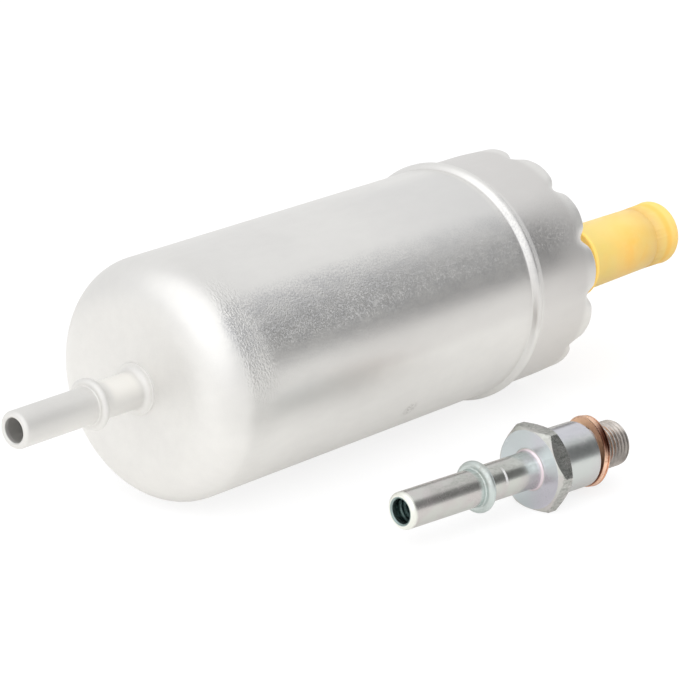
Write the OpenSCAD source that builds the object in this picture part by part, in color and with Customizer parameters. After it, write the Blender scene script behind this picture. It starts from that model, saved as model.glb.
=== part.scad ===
// In-line electric fuel pump: a roller-cell pump and its motor, sealed in one aluminium can.
// The loose outlet fitting, with its check valve and copper washer, lies beside the pump.
// X runs along the pump from the inlet (-X) to the outlet (+X), and Z is up.
// The origin is on the pump's axis, at the middle of the wall that a strap clamps.

/* [Can] */
// Outer diameter of the can
can_d = 52; // [50:0.5:56]
// Wall of the can
can_wall = 1.2; // [0.8:0.1:1.6]
// Length from the domed face to the tips of the crimped rim
can_len = 119.3; // [119:0.1:124]
// From the middle of the clamping wall to the crest of the swaged bead
clamp_to_bead = 45; // [43:0.5:47]
// From the crest of the bead to the tips of the crimped rim
bead_to_rim = 21.3; // [20.8:0.1:24]
// Radius of the domed face's corner
dome_corner = 9; // [7:0.5:10]
// Thickness of the domed face
dome_wall = 2; // [1.5:0.1:2.5]
// Depth of the suction chamber, from the domed face's outside to the seat of the pump plates
chamber_depth = 10; // [9.8:0.1:11]
// Width of the seat that the pump plates rest on
seat_step = 0.8; // [0.5:0.1:1.2]
// Height of the swaged bead above the can
bead_h = 1.25; // [0.8:0.05:1.6]
// Length of the bead's gentle front slope
bead_front = 1.6; // [1.2:0.1:2]
// Length of the bead's flat crest
bead_top = 0.6; // [0.4:0.1:1]
// Length of the bead's steep rear slope
bead_rear = 0.6; // [0.4:0.1:1]

/* [Crimped rim] */
// Number of pinches round the rim
pinch_count = 12; // [8:1:14]
// Angle of the first pinch, from the top towards the viewer
pinch_angle = 6; // [0:1:29]
// Depth of a pinch at the rim
pinch_depth = 2; // [1.6:0.1:2.4]
// Radius of the tool that makes a pinch
pinch_r = 4.5; // [4:0.1:5]

/* [Inlet spigot] */
// Diameter of both quick-connect spigots, the 5/16 inch size
spigot_d = 7.89; // [7.6:0.01:8.2]
// Bore of both spigots
spigot_bore = 5.25; // [4.6:0.05:5.6]
// Length of the inlet spigot from the domed face
spigot_len = 34; // [32:0.5:40]
// From a spigot's tip to the middle of its latching bead
tip_to_bead = 21; // [19:0.5:23]
// Diameter of the latching bead
latch_d = 11; // [10.4:0.1:11.6]
// Width of the latching bead
latch_w = 2; // [1.6:0.1:2.4]
// Rounding of a spigot's tip
tip_round = 0.8; // [0.4:0.1:1]
// Diameter of the raised ring at the inlet spigot's foot
foot_d = 11.2; // [10.8:0.1:12.4]
// Height of the raised ring
foot_h = 0.5; // [0.3:0.1:0.8]
// Radius of the flare between the spigot and its foot
flare_r = 1.3; // [1:0.1:1.4]

/* [Pump section] */
// Thickness of the intake plate
intake_t = 10; // [9:0.5:11]
// Thickness of the cam ring
cam_t = 10; // [9:0.5:11]
// Thickness of the base plate
base_t = 5; // [4.5:0.5:6]
// Wall between the cam ring's bore and the screws
cam_wall = 1.8; // [1.4:0.1:2.4]
// Least gap between the rotor and the cam ring
cam_gap = 0.3; // [0.2:0.05:0.4]
// Height of the widest gap between the rotor and the cam ring
cam_lift = 3.6; // [3:0.1:4]
// Number of rollers
roller_count = 5; // [4:1:6]
// Diameter of a roller
roller_d = 4.4; // [4:0.1:4.6]
// Clearance round a roller in its slot
roller_gap = 0.1; // [0.05:0.01:0.2]
// Clearance at each face of the rotor and the rollers
rotor_end_gap = 0.05; // [0.02:0.01:0.1]
// Width of the key that drives the rotor
key_w = 2; // [1.6:0.1:2.4]
// Length of the key
key_len = 8; // [6:0.5:8.5]
// How far the intake and discharge ports reach past the rotor
port_out = 1; // [0.5:0.1:1.4]
// Width of the ports
port_w = 4.5; // [3.5:0.1:5]
// Angle that each port spans
port_span = 110; // [80:5:130]
// Number of screws that clamp the pump plates
screw_count = 4; // [3:1:5]
// Diameter of the pump screws
screw_d = 3; // [2.5:0.1:3.2]
// Clearance of the screws in the plates that they pass through, on the radius
screw_gap = 0.15; // [0.1:0.05:0.25]
// Distance of the screws' axes from the plates' rim
screw_edge = 4.5; // [4.2:0.1:5]
// Diameter of the screws' heads
screw_head_d = 5; // [4.5:0.1:5.2]
// Height of the screws' heads
screw_head_h = 2; // [1.5:0.1:2.2]
// Width of the screws' sockets across their corners
screw_socket_d = 2.5; // [2:0.1:2.8]
// Depth of the screws' sockets
screw_socket_h = 1.2; // [1:0.1:1.5]
// Width of the seal groove in the base plate
pump_seal_w = 2.4; // [2:0.1:2.6]
// Cross-section diameter of the pump section's seal
pump_seal_d = 1.8; // [1.6:0.1:2]

/* [Relief valve] */
// Distance of the relief valve's axis from the rotor's rim
relief_out = 1; // [0.5:0.1:1.3]
// Angle of the relief valve from the top towards the viewer
relief_angle = 90; // [85:1:95]
// Diameter of the relief valve's ball
relief_ball_d = 3.8; // [3.6:0.1:4]
// Diameter of the hole that the ball closes
relief_seat_d = 2.4; // [2:0.1:2.6]
// Thickness of the land that the ball closes
relief_land = 3; // [2.5:0.1:3.5]
// Length of the relief valve's boss, past the intake plate's face
relief_boss = 4; // [3:0.1:5]
// Clearance of the relief valve's ball in its bore, on the radius
relief_gap = 0.3; // [0.2:0.05:0.4]
// Wall round the relief valve's bore
relief_wall = 2; // [1.6:0.1:2.4]
// Thickness of the plug behind the relief spring
relief_plug_t = 1.5; // [1:0.1:2]
// Hole in the plug
relief_plug_hole = 2; // [1.6:0.1:2.4]

/* [Motor] */
// Diameter of the armature shaft
shaft_d = 6; // [5.6:0.1:6.4]
// Running clearance of the shaft in its bushes, on the radius
shaft_gap = 0.02; // [0.01:0.01:0.05]
// Outer diameter of the bushes
bush_d = 10; // [9.6:0.1:10.6]
// Length of the front bush
front_bush_len = 8; // [7:0.1:8.5]
// Length of the rear bush
rear_bush_len = 7; // [6:0.1:7.5]
// Thickness of the steel flux ring
flux_t = 2.2; // [1.8:0.1:2.6]
// Thickness of the magnets
magnet_t = 5; // [4.4:0.1:5.2]
// How far the magnets reach past the armature's core at each end
magnet_over = 2; // [1:0.5:3]
// Angle that each magnet spans
magnet_span = 130; // [120:1:140]
// Thickness of the clips between the magnets
clip_t = 0.6; // [0.4:0.1:1]
// How far the clips stop short of the magnets' ends
clip_short = 6; // [4:0.5:9]
// Air gap between the magnets and the armature
air_gap = 0.6; // [0.4:0.1:1]
// Gap between the base plate and the winding
armature_gap = 2.1; // [1.8:0.1:3]
// Number of armature slots and of commutator bars
slot_count = 8; // [6:1:9]
// Radius of an armature slot
slot_r = 2.6; // [2.2:0.1:2.8]
// Depth of the middle of a slot under the core's rim
slot_depth = 5.1; // [4.8:0.1:5.4]
// Width of a slot's mouth
slot_mouth = 1.4; // [1:0.1:1.8]
// Clearance of the winding in its slot
winding_gap = 0.15; // [0.1:0.05:0.3]
// Length of the winding's head past the core
head_len = 6; // [5:0.1:6.2]
// Inner radius of the winding's head
head_r0 = 6; // [5.6:0.1:6.4]
// How far the winding's head stays inside the core's rim
head_in = 1.5; // [1:0.1:2]
// Gap between the winding's head and the commutator
head_gap = 0.4; // [0.2:0.1:0.6]
// Outer diameter of the thrust washers
thrust_d = 9.2; // [8.6:0.1:9.4]
// Thickness of the thrust washers
thrust_t = 1; // [0.8:0.1:1.2]
// Diameter of the commutator
comm_d = 24; // [23.4:0.1:25]
// Diameter of the commutator's plain centre
comm_core_d = 9.6; // [9.2:0.1:10]
// Thickness of the commutator's plastic hub
comm_hub_t = 4; // [3:0.1:4.2]
// Thickness of the commutator's bars
comm_bar_t = 2.5; // [2:0.1:3]
// Gap between two commutator bars
comm_slit = 0.6; // [0.4:0.1:0.8]

/* [Brush gear] */
// Thickness of the moulded brush holder
holder_t = 8; // [7.5:0.1:8.5]
// Gap between the commutator's face and the brush holder
comm_to_holder = 3; // [2.5:0.1:3.4]
// Height of a brush, measured from the pump's axis outwards
brush_h = 5; // [4.4:0.1:5.2]
// Width of a brush
brush_w = 6; // [5:0.1:6.4]
// Length of a brush
brush_len = 10; // [9:0.1:10.2]
// Distance of a brush from the pump's axis
brush_r = 8.4; // [8.3:0.1:8.7]
// Clearance round a brush in its pocket
brush_gap = 0.1; // [0.05:0.01:0.2]
// Clearance at the ends of the brushes and of the springs
brush_seat = 0.05; // [0.02:0.01:0.1]
// Outer diameter of a brush spring
brush_spring_d = 4.4; // [4:0.1:4.6]
// Wire of a brush spring
brush_wire = 0.6; // [0.4:0.1:0.7]
// Width and thickness of a braided brush lead
lead_w = 1; // [0.8:0.1:1.2]
// Clearance of a lead in its slot, on each side
lead_gap = 0.3; // [0.2:0.05:0.4]
// Gap between a lead and the spring post that it passes
lead_out = 1.5; // [1:0.1:2]
// Distance of a lead from its brush's rear end
lead_in = 1.6; // [1.2:0.1:2]
// Floor left under a lead's slot
lead_floor = 2; // [1.5:0.1:2.5]
// Number of fuel windows through the brush holder
window_count = 4; // [2:1:4]
// Radius of a fuel window
window_r = 3.2; // [2.6:0.1:3.4]
// Distance of a fuel window from the wall of the fuel recess
window_edge = 1.8; // [1.4:0.1:2.2]

/* [End cover] */
// From the cover's inner face to the tips of the rim
cover_len = 14.3; // [13.8:0.1:16]
// Depth of the fuel recess in the cover
recess_depth = 5; // [4.6:0.1:5.4]
// Wall between the fuel recess and the seal groove
recess_wall = 3.6; // [3:0.1:4]
// Height of the cover's face past the tips of the rim
cover_rise = 1.7; // [1:0.1:3]
// Width of the ledge that the rim is crimped over
cover_ledge = 4.7; // [4.2:0.1:5]
// Width of the step between the ledge's slope and the raised face
cover_step = 1; // [0.6:0.1:1.4]
// Length of the spring posts in the recess
post_len = 2.5; // [2:0.1:2.6]
// Wall of the spring posts
post_wall = 1; // [0.8:0.1:1.2]
// Clearance round a spring in its pocket
spring_gap = 0.2; // [0.1:0.05:0.3]
// Depth of the spring pockets past the recess
pocket_depth = 3; // [2:0.1:4]
// Width of the cover's seal groove
cover_seal_w = 2.8; // [2.5:0.1:3.2]
// Cross-section diameter of the cover's seal
cover_seal_d = 2.2; // [2:0.1:2.4]
// From the cover's inner face to the middle of the seal groove
cover_seal_x = 5; // [4:0.1:6]

/* [Outlet port] */
// Distance of the outlet's axis from the rim of the cover's raised face
outlet_edge = 9.2; // [9:0.1:9.6]
// Diameter of the outlet's boss
boss_d = 13.4; // [13:0.1:14]
// Length of the outlet's boss
boss_len = 10; // [9:0.5:12]
// Diameter of the insert's neck between the cover and the boss
neck_d = 12; // [11.6:0.1:12.6]
// From the cover's face to the boss
neck_len = 6.8; // [5:0.1:9]
// Diameter of the insert's anchoring collar inside the cover
anchor_d = 15; // [14.4:0.1:15.4]
// Thickness of the anchoring collar
anchor_t = 3; // [2:0.1:4]
// Depth of the anchoring collar past the fuel recess
anchor_depth = 3; // [2:0.1:4]
// Diameter of the hole that the M10 x 1 thread is cut in
port_hole_d = 9; // [8.8:0.05:9.1]
// Length of the threaded hole
port_hole_len = 12.2; // [10:0.1:14]
// Chamfer at the mouth of the threaded hole
port_chamfer = 0.5; // [0.3:0.1:0.7]
// Diameter of the passage into the outlet
passage_d = 8; // [7.8:0.1:8.4]

/* [Terminals] */
// Diameter of the positive stud
positive_d = 4; // [3.6:0.1:4.2]
// Diameter of the negative stud
negative_d = 5; // [4.6:0.1:5.2]
// Distance of the studs' axes from the wall of the fuel recess
terminal_edge = 5.5; // [5:0.1:6]
// Angle of each stud above or below the side away from the viewer
terminal_angle = 45; // [42:1:48]
// Half the height of the studs' threads
stud_thread_h = 0.25; // [0.2:0.01:0.3]
// Free play between a nut and the full height of the stud's thread
stud_nut_gap = 0.2; // [0.1:0.05:0.3]
// Length of the studs past the cover's face
stud_len = 13; // [12:0.5:15]
// Diameter of a stud's head inside the cover
stud_head_d = 7; // [6.4:0.1:7.2]
// Thickness of the stud's head and of its outer collar
stud_collar_t = 1.5; // [1:0.1:1.8]
// Thickness of the positive nut
positive_nut_t = 3.2; // [2.8:0.1:3.4]
// Width of the positive nut across its flats
positive_nut_af = 7; // [6.8:0.1:7.4]
// Thickness of the negative nut
negative_nut_t = 4; // [3.6:0.1:4.2]
// Width of the negative nut across its flats
negative_nut_af = 8; // [7.8:0.1:8.4]
// Slope of the bevels at the nuts' corners, as a rise over a run
nut_bevel = 0.6; // [0.5:0.05:0.7]
// Thickness of the washers under the nuts
stud_washer_t = 0.8; // [0.6:0.1:1]

/* [Transit cap] */
// Length of the cap
cap_len = 32.6; // [28:0.1:36]
// Wall of the cap round the boss
cap_wall = 0.75; // [0.65:0.05:1]
// How much narrower the cap is at its closed end, on the radius
cap_taper = 0.4; // [0:0.05:0.5]
// How far the flange at the cap's open end stands out
cap_flange_out = 0.95; // [0.8:0.05:1.6]
// Thickness of the flange
cap_flange_t = 1; // [0.8:0.1:1.4]
// How far the bead at the cap's closed end stands out
cap_bead_out = 0.3; // [0.1:0.05:0.5]
// Width of the bead
cap_bead_w = 2.4; // [2:0.1:3]
// Thickness of the cap's closed end
cap_end_t = 1.2; // [1:0.1:2]
// Clearance of the cap on the boss, on the radius
cap_gap = 0.05; // [0.03:0.01:0.1]
// How much narrower the cap's hollow is past the boss, on the radius
cap_step = 0.4; // [0.2:0.05:0.6]

/* [Outlet fitting] */
// Place of the fitting's tip along the pump
fitting_x = -32.8; // [-40:0.1:-25]
// Distance of the fitting's tip from the pump's axis, towards the viewer
fitting_y = 53.9; // [50:0.1:70]
// Angle that the fitting's far end is turned towards the viewer
fitting_yaw = 6.2; // [0:0.1:12]
// From the fitting's tip to the front of its hexagon
hex_from_tip = 36.2; // [34:0.1:40]
// Width of the hexagon across its flats
hex_af = 17; // [16:0.5:19]
// Thickness of the hexagon
hex_t = 4.1; // [3.8:0.1:5]
// Slope of the bevels at the hexagon's corners, as a rise over a run
hex_bevel = 0.85; // [0.6:0.05:1]
// Diameter of the collar behind the hexagon
collar_d = 14; // [13.5:0.1:15]
// Length of the collar
collar_len = 10.2; // [9:0.1:11]
// Outer diameter of the M10 x 1 thread
thread_d = 9.9; // [9.7:0.05:10]
// Length of the thread with its relief
thread_len = 10.8; // [9:0.1:12]
// Length of the relief between the collar and the thread
relief_len = 1.4; // [1:0.1:2]
// Diameter of the relief
relief_d = 8.6; // [8.4:0.1:9]
// Chamfer at the thread's end
thread_chamfer = 0.4; // [0.3:0.1:0.8]
// Outer diameter of the copper washer
washer_d = 15; // [14:0.1:16]
// Thickness of the copper washer
washer_t = 1.5; // [1:0.1:2]
// Clearance of the copper washer round the thread, on the radius
washer_gap = 0.4; // [0.35:0.05:0.5]
// Depth of the seam round the washer's rim
washer_seam = 0.5; // [0.3:0.1:0.7]
// Distance between the collar and the middle of the copper washer as they lie
washer_out = 2.45; // [2.4:0.05:4]
// How far the copper washer leans, as it hangs on the thread
washer_lean = 11; // [0:0.5:11]
// Which way the copper washer leans, from the top towards the viewer
washer_lean_to = 302; // [0:1:359]

/* [Check valve] */
// Diameter of the valve chamber in the fitting
valve_bore = 6.8; // [6.4:0.1:7]
// Depth of the valve chamber from the thread's end
valve_depth = 21; // [19:0.5:23]
// Thickness of the pressed-in valve seat
valve_seat_t = 1.8; // [1.4:0.1:2.4]
// Hole in the valve seat
valve_hole = 3.6; // [3:0.1:4]
// From the thread's end to the valve seat
valve_inset = 0.7; // [0.4:0.1:1]
// Diameter of the poppet's disc
poppet_d = 5.8; // [5.4:0.1:6]
// Thickness of the poppet's disc
poppet_t = 2; // [1.5:0.1:2.4]
// Diameter of the nose that holds the poppet's seal
nose_d = 2.3; // [2:0.1:2.6]
// Diameter of the poppet's stem
stem_d = 3.6; // [3:0.1:4]
// Length of the poppet's stem
stem_len = 7; // [5:0.5:8]
// Thickness of the poppet's rubber seal
valve_seal_t = 1.1; // [0.8:0.1:1.4]
// Wire of the valve spring
valve_wire = 0.6; // [0.4:0.1:0.8]
// Clearance of the valve spring in its chamber, on the radius
valve_spring_gap = 0.2; // [0.1:0.05:0.3]

/* [Hidden] */
$fn = 96;

// Radial clearance between the can and the pieces that stack in it
stack_gap = 0.1;
// Gap between a seated moving piece and its seat
seat_gap = 0.1;
// How far a cutting shape runs past a face
over = 1;

can_r = can_d / 2;
inner_r = can_r - can_wall;
stack_r = inner_r - stack_gap;
crest_x = clamp_to_bead;
rim_x = crest_x + bead_to_rim;
dome_x = rim_x - can_len;
seat_x = dome_x + chamber_depth;
chamber_r = inner_r - seat_step;
floor_z = -(can_r + bead_h);

spigot_r = spigot_d / 2;
bore_r = spigot_bore / 2;
tip_x = dome_x - spigot_len;

cam_x = seat_x + intake_t;
base_x = cam_x + cam_t;
flux_x = base_x + base_t;
cover_x = rim_x - cover_len;
holder_x = cover_x - holder_t;

shaft_r = shaft_d / 2;
screw_pcr = stack_r - screw_edge;
cam_ecc = cam_lift / 2;
cam_r = screw_pcr - screw_d / 2 - cam_wall - cam_ecc;
rotor_r = cam_r - cam_ecc - cam_gap;
roller_r = roller_d / 2;
roller_pcr = rotor_r - roller_r;
rotor_t = cam_t - 2 * rotor_end_gap;
port_r = rotor_r + port_out - port_w;

magnet_r1 = stack_r - flux_t;
magnet_r0 = magnet_r1 - magnet_t;
core_r = magnet_r0 - air_gap;
comm_x1 = holder_x - comm_to_holder;
comm_bar_x = comm_x1 - comm_bar_t;
comm_x0 = comm_bar_x - comm_hub_t;
core_x1 = comm_x0 - head_len - head_gap;
core_x0 = flux_x + armature_gap + head_len;
slot_pcr = core_r - slot_depth;
head_r1 = core_r - head_in;
magnet_x0 = core_x0 - magnet_over;
magnet_x1 = core_x1 + magnet_over;
front_bush_x = cam_x - front_bush_len;

brush_x = comm_x1 + brush_seat;
brush_x1 = brush_x + brush_len;
post_r = brush_spring_d / 2 + spring_gap + post_wall;
lead_y = post_r + lead_out + lead_w / 2;
recess_x = cover_x + recess_depth;
pocket_x = recess_x + pocket_depth;
cover_face_x = rim_x + cover_rise;
cover_face_r = stack_r - cover_ledge;
recess_r = inner_r - cover_seal_d - recess_wall;
window_pcr = recess_r - window_edge - window_r;
terminal_r = recess_r - terminal_edge;
terminal_y = terminal_r * cos(terminal_angle);
terminal_z = terminal_r * sin(terminal_angle);
outlet_offset = cover_face_r - outlet_edge;
anchor_x = recess_x + anchor_depth;
boss_x = cover_face_x + neck_len;
boss_x1 = boss_x + boss_len;
pinch_c = can_r - pinch_depth + pinch_r;
pinch_inner_r = pinch_r + can_wall;
shoulder_x = rim_x - sqrt(pow(pinch_inner_r, 2) - pow(pinch_c - inner_r, 2)) - 0.05;

relief_x = cam_x - relief_land;
relief_r = rotor_r + relief_out;
relief_ball_r = relief_ball_d / 2;
relief_bore_r = relief_ball_r + relief_gap;
relief_ball_x = relief_x - sqrt(pow(relief_ball_r, 2) - pow(relief_seat_d / 2, 2)) - seat_gap;
relief_plug_x = seat_x - relief_boss;

hex_x = hex_from_tip;
collar_x = hex_x + hex_t;
thread_x = collar_x + collar_len;
thread_x1 = thread_x + thread_len;
chamber_x = thread_x1 - valve_depth;
valve_seat_x = thread_x1 - valve_inset - valve_seat_t;
poppet_x = valve_seat_x - seat_gap - valve_seal_t - poppet_t;

// A solid of revolution about X: the outline's x is the radius and its y runs along the pump
module lathe() {
    rotate([0, 90, 0]) rotate_extrude() children();
}

module band(r0, r1, x0, x1) {
    translate([r0, x0]) square([r1 - r0, x1 - x0]);
}

module tube(r0, r1, x0, x1) {
    lathe() band(r0, r1, x0, x1);
}

module rod(r, x0, x1) {
    translate([x0, 0, 0]) rotate([0, 90, 0]) cylinder(r = r, h = x1 - x0);
}

// Carries its children from the axis to radius r, at an angle from the top towards the viewer
module around(angle, r) {
    rotate([angle, 0, 0]) translate([0, 0, r]) children();
}

module ring_of(count, r, first = 0) {
    for (i = [0 : count - 1]) around(first + i * 360 / count, r) children();
}

module block(x0, x1, w, z0, z1) {
    translate([x0, -w / 2, z0]) cube([x1 - x0, w, z1 - z0]);
}

// A wedge about X that spans an angle on both sides of the top
module wedge(span, r, x0, x1) {
    reach = 2 * r;
    half = span / 2;
    points = [[0, 0], for (t = [-1 : 0.5 : 1]) [reach * cos(t * half), reach * sin(t * half)]];
    translate([x0, 0, 0]) rotate([0, 90, 0]) rotate([0, 0, 180])
        linear_extrude(height = x1 - x0) polygon(points);
}

module sector(span, r0, r1, x0, x1) {
    intersection() {
        tube(r0, r1, x0, x1);
        wedge(span, r1, x0 - over, x1 + over);
    }
}

// A hexagonal prism with a flat below, chamfered at both faces
module hex_bar(af, slope, x0, x1) {
    corner_r = af / 2 / cos(30);
    bevel = (corner_r - af / 2) * slope;
    intersection() {
        translate([x0, 0, 0]) rotate([30, 0, 0]) rotate([0, 90, 0])
            cylinder(r = corner_r, h = x1 - x0, $fn = 6);
        lathe() polygon([
            [0, x0], [af / 2, x0], [corner_r, x0 + bevel],
            [corner_r, x1 - bevel], [af / 2, x1], [0, x1]
        ]);
    }
}

// The outline of a quick-connect spigot from its tip at x to its root, before it is bored
module spigot_outline(x, root) {
    difference() {
        band(0, spigot_r, x, root);
        difference() {
            band(spigot_r - tip_round, spigot_r + over, x - over, x + tip_round);
            translate([spigot_r - tip_round, x + tip_round]) circle(r = tip_round);
        }
    }
    bead_x = x + tip_to_bead;
    band(0, latch_d / 2 - latch_w / 2, bead_x - latch_w / 2, bead_x + latch_w / 2);
    translate([latch_d / 2 - latch_w / 2, bead_x]) circle(r = latch_w / 2);
}

module can_outline() {
    difference() {
        band(0, can_r, dome_x, rim_x);
        difference() {
            band(can_r - dome_corner, can_r + over, dome_x - over, dome_x + dome_corner);
            translate([can_r - dome_corner, dome_x + dome_corner]) circle(r = dome_corner);
        }
    }
    bead_outline(can_r);
    spigot_outline(tip_x, dome_x + over);
    difference() {
        band(0, foot_d / 2, dome_x - foot_h, dome_x + over);
        difference() {
            band(foot_d / 2 - foot_h / 2, foot_d, dome_x - foot_h - over, dome_x - foot_h / 2);
            translate([foot_d / 2 - foot_h / 2, dome_x - foot_h / 2]) circle(r = foot_h / 2);
        }
    }
    difference() {
        band(0, spigot_r + flare_r, dome_x - foot_h - flare_r, dome_x);
        translate([spigot_r + flare_r, dome_x - foot_h - flare_r]) circle(r = flare_r);
    }
}

// The swaged bead, raised from radius r with a gentle front slope and a steep rear one
module bead_outline(r) {
    polygon([
        [r - can_wall / 2, crest_x - bead_top / 2 - bead_front],
        [r, crest_x - bead_top / 2 - bead_front],
        [r + bead_h, crest_x - bead_top / 2],
        [r + bead_h, crest_x + bead_top / 2],
        [r, crest_x + bead_top / 2 + bead_rear],
        [r - can_wall / 2, crest_x + bead_top / 2 + bead_rear]
    ]);
}

module can_hollow() {
    corner = dome_corner - dome_wall;
    band(0, bore_r, tip_x - over, dome_x + dome_wall + over);
    difference() {
        band(0, chamber_r, dome_x + dome_wall, seat_x + over);
        difference() {
            band(chamber_r - corner, chamber_r + over, dome_x, dome_x + dome_wall + corner);
            translate([chamber_r - corner, dome_x + dome_wall + corner]) circle(r = corner);
        }
    }
    band(0, inner_r, seat_x, rim_x + over);
    bead_outline(inner_r);
}

module housing_can() {
    color("gainsboro") difference() {
        union() {
            lathe() difference() {
                can_outline();
                can_hollow();
            }
            intersection() {
                ring_of(pinch_count, pinch_c, pinch_angle)
                    translate([rim_x, 0, 0]) sphere(r = pinch_inner_r);
                tube(inner_r - pinch_inner_r, inner_r + can_wall / 2, rim_x - pinch_inner_r, rim_x);
            }
        }
        ring_of(pinch_count, pinch_c, pinch_angle) translate([rim_x, 0, 0]) sphere(r = pinch_r);
    }
}

// The port between the pump plates, a curved slot about the axis
module port(angle, x0, x1) {
    rotate([angle, 0, 0]) sector(port_span, port_r, port_r + port_w, x0 - over, x1 + over);
}

module screw_holes(r, x0, x1) {
    ring_of(screw_count, screw_pcr, 45) rod(r, x0 - over, x1 + over);
}

module intake_plate() {
    color("silver") difference() {
        union() {
            rod(stack_r, seat_x, cam_x);
            around(relief_angle, relief_r) rod(relief_bore_r + relief_wall, relief_plug_x, cam_x);
        }
        rod(bush_d / 2, front_bush_x, cam_x + over);
        port(-90, seat_x, cam_x);
        screw_holes(screw_d / 2 + screw_gap, seat_x, cam_x);
        around(relief_angle, relief_r) {
            rod(relief_bore_r, relief_plug_x - over, relief_x);
            rod(relief_seat_d / 2, relief_x - over, cam_x + over);
        }
    }
}

module cam_ring() {
    color("dimgray") difference() {
        rod(stack_r, cam_x, base_x);
        translate([0, 0, cam_ecc]) rod(cam_r, cam_x - over, base_x + over);
        screw_holes(screw_d / 2 + screw_gap, cam_x, base_x);
    }
}

module base_plate() {
    groove_x = base_x + (base_t - pump_seal_w) / 2;
    color("silver") difference() {
        rod(stack_r, base_x, flux_x);
        rod(shaft_r + 0.4, base_x - over, flux_x + over);
        port(90, base_x, flux_x);
        screw_holes(screw_d / 2, base_x, flux_x);
        tube(inner_r - pump_seal_d, stack_r + over, groove_x, groove_x + pump_seal_w);
    }
}

module pump_seal() {
    color("black") lathe()
        translate([inner_r - pump_seal_d / 2, base_x + base_t / 2]) circle(d = pump_seal_d);
}

module pump_screws() {
    color("lightgray") ring_of(screw_count, screw_pcr, 45) difference() {
        union() {
            rod(screw_d / 2, seat_x - screw_head_h, flux_x);
            rod(screw_head_d / 2, seat_x - screw_head_h, seat_x);
        }
        translate([seat_x - screw_head_h - over, 0, 0]) rotate([0, 90, 0])
            cylinder(d = screw_socket_d, h = over + screw_socket_h, $fn = 6);
    }
}

module relief_ball() {
    color("lightgray") around(relief_angle, relief_r)
        translate([relief_ball_x, 0, 0]) sphere(r = relief_ball_r);
}

module relief_spring() {
    ball_reach = sqrt(pow(relief_ball_r, 2) - pow(relief_ball_r - brush_wire, 2));
    color("gray") around(relief_angle, relief_r)
        tube(relief_ball_r - brush_wire, relief_ball_r,
            relief_plug_x + relief_plug_t, relief_ball_x - ball_reach - brush_seat);
}

module relief_plug() {
    color("goldenrod") around(relief_angle, relief_r)
        tube(relief_plug_hole / 2, relief_bore_r, relief_plug_x, relief_plug_x + relief_plug_t);
}

module pump_rotor() {
    x0 = cam_x + rotor_end_gap;
    x1 = x0 + rotor_t;
    slot = roller_r + roller_gap;
    color("slategray") difference() {
        rod(rotor_r, x0, x1);
        rod(shaft_r, x0 - over, x1 + over);
        ring_of(roller_count, 0) {
            translate([0, 0, roller_pcr]) rod(slot, x0 - over, x1 + over);
            block(x0 - over, x1 + over, 2 * slot, roller_pcr, rotor_r + over);
        }
        rotor_key_seat();
    }
}

module rotor_key_seat() {
    mid = (cam_x + base_x) / 2;
    rotate([180, 0, 0])
        block(mid - key_len / 2, mid + key_len / 2, key_w, shaft_r - key_w / 2, shaft_r + key_w / 2);
}

module pump_rollers() {
    x0 = cam_x + rotor_end_gap;
    color("lightgray") ring_of(roller_count, roller_pcr) rod(roller_r, x0, x0 + rotor_t);
}

module rotor_key() {
    color("gray") rotor_key_seat();
}

module front_bush() {
    color("peru") tube(shaft_r + shaft_gap, bush_d / 2, front_bush_x, cam_x);
}

module rear_bush() {
    color("peru") tube(shaft_r + shaft_gap, bush_d / 2, holder_x, holder_x + rear_bush_len);
}

module armature_shaft() {
    color("lightgray") difference() {
        rod(shaft_r, front_bush_x + over, holder_x + rear_bush_len - over);
        rotor_key_seat();
    }
}

module armature_core() {
    color("dimgray") difference() {
        rod(core_r, core_x0, core_x1);
        rod(shaft_r, core_x0 - over, core_x1 + over);
        ring_of(slot_count, 0) {
            translate([0, 0, slot_pcr]) rod(slot_r, core_x0 - over, core_x1 + over);
            block(core_x0 - over, core_x1 + over, slot_mouth, slot_pcr, core_r + over);
        }
    }
}

module armature_winding() {
    bevel = head_len / 3;
    color("chocolate") {
        ring_of(slot_count, slot_pcr)
            rod(slot_r - winding_gap, core_x0 - bevel, core_x1 + bevel);
        for (side = [0, 1]) mirror([side, 0, 0]) translate([side ? -core_x0 : core_x1, 0, 0])
            lathe() polygon([
                [head_r0, winding_gap], [head_r1, winding_gap], [head_r1, head_len - bevel],
                [head_r1 - bevel, head_len], [head_r0, head_len]
            ]);
    }
}

module commutator_hub() {
    color("saddlebrown") {
        tube(shaft_r, comm_d / 2, comm_x0, comm_bar_x);
        tube(shaft_r, comm_core_d / 2, comm_bar_x - over, comm_x1);
    }
}

module commutator_bars() {
    color("darkorange") difference() {
        tube(comm_core_d / 2 + comm_slit / 2, comm_d / 2, comm_bar_x, comm_x1);
        ring_of(slot_count, 0) block(comm_bar_x - over, comm_x1 + over, comm_slit, 0, comm_d);
    }
}

module thrust_washers() {
    color("white") {
        tube(shaft_r, thrust_d / 2, flux_x + seat_gap, flux_x + seat_gap + thrust_t);
        tube(shaft_r, thrust_d / 2, holder_x - seat_gap - thrust_t, holder_x - seat_gap);
    }
}

module flux_ring() {
    color("darkgray") tube(magnet_r1, stack_r, flux_x, holder_x);
}

module magnet() {
    sector(magnet_span, magnet_r0, magnet_r1, magnet_x0, magnet_x1);
}

module magnet_upper() {
    color("darkslategray") magnet();
}

module magnet_lower() {
    color("darkslategray") rotate([180, 0, 0]) magnet();
}

module magnet_clips() {
    color("lightsteelblue") for (side = [90, 270]) rotate([side, 0, 0])
        sector(180 - magnet_span, magnet_r1 - clip_t, magnet_r1, magnet_x0 + clip_short,
            magnet_x1 - clip_short);
}

module brush_block(gap, x0, x1) {
    block(x0, x1, brush_w + 2 * gap, brush_r - brush_h / 2 - gap, brush_r + brush_h / 2 + gap);
}

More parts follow.
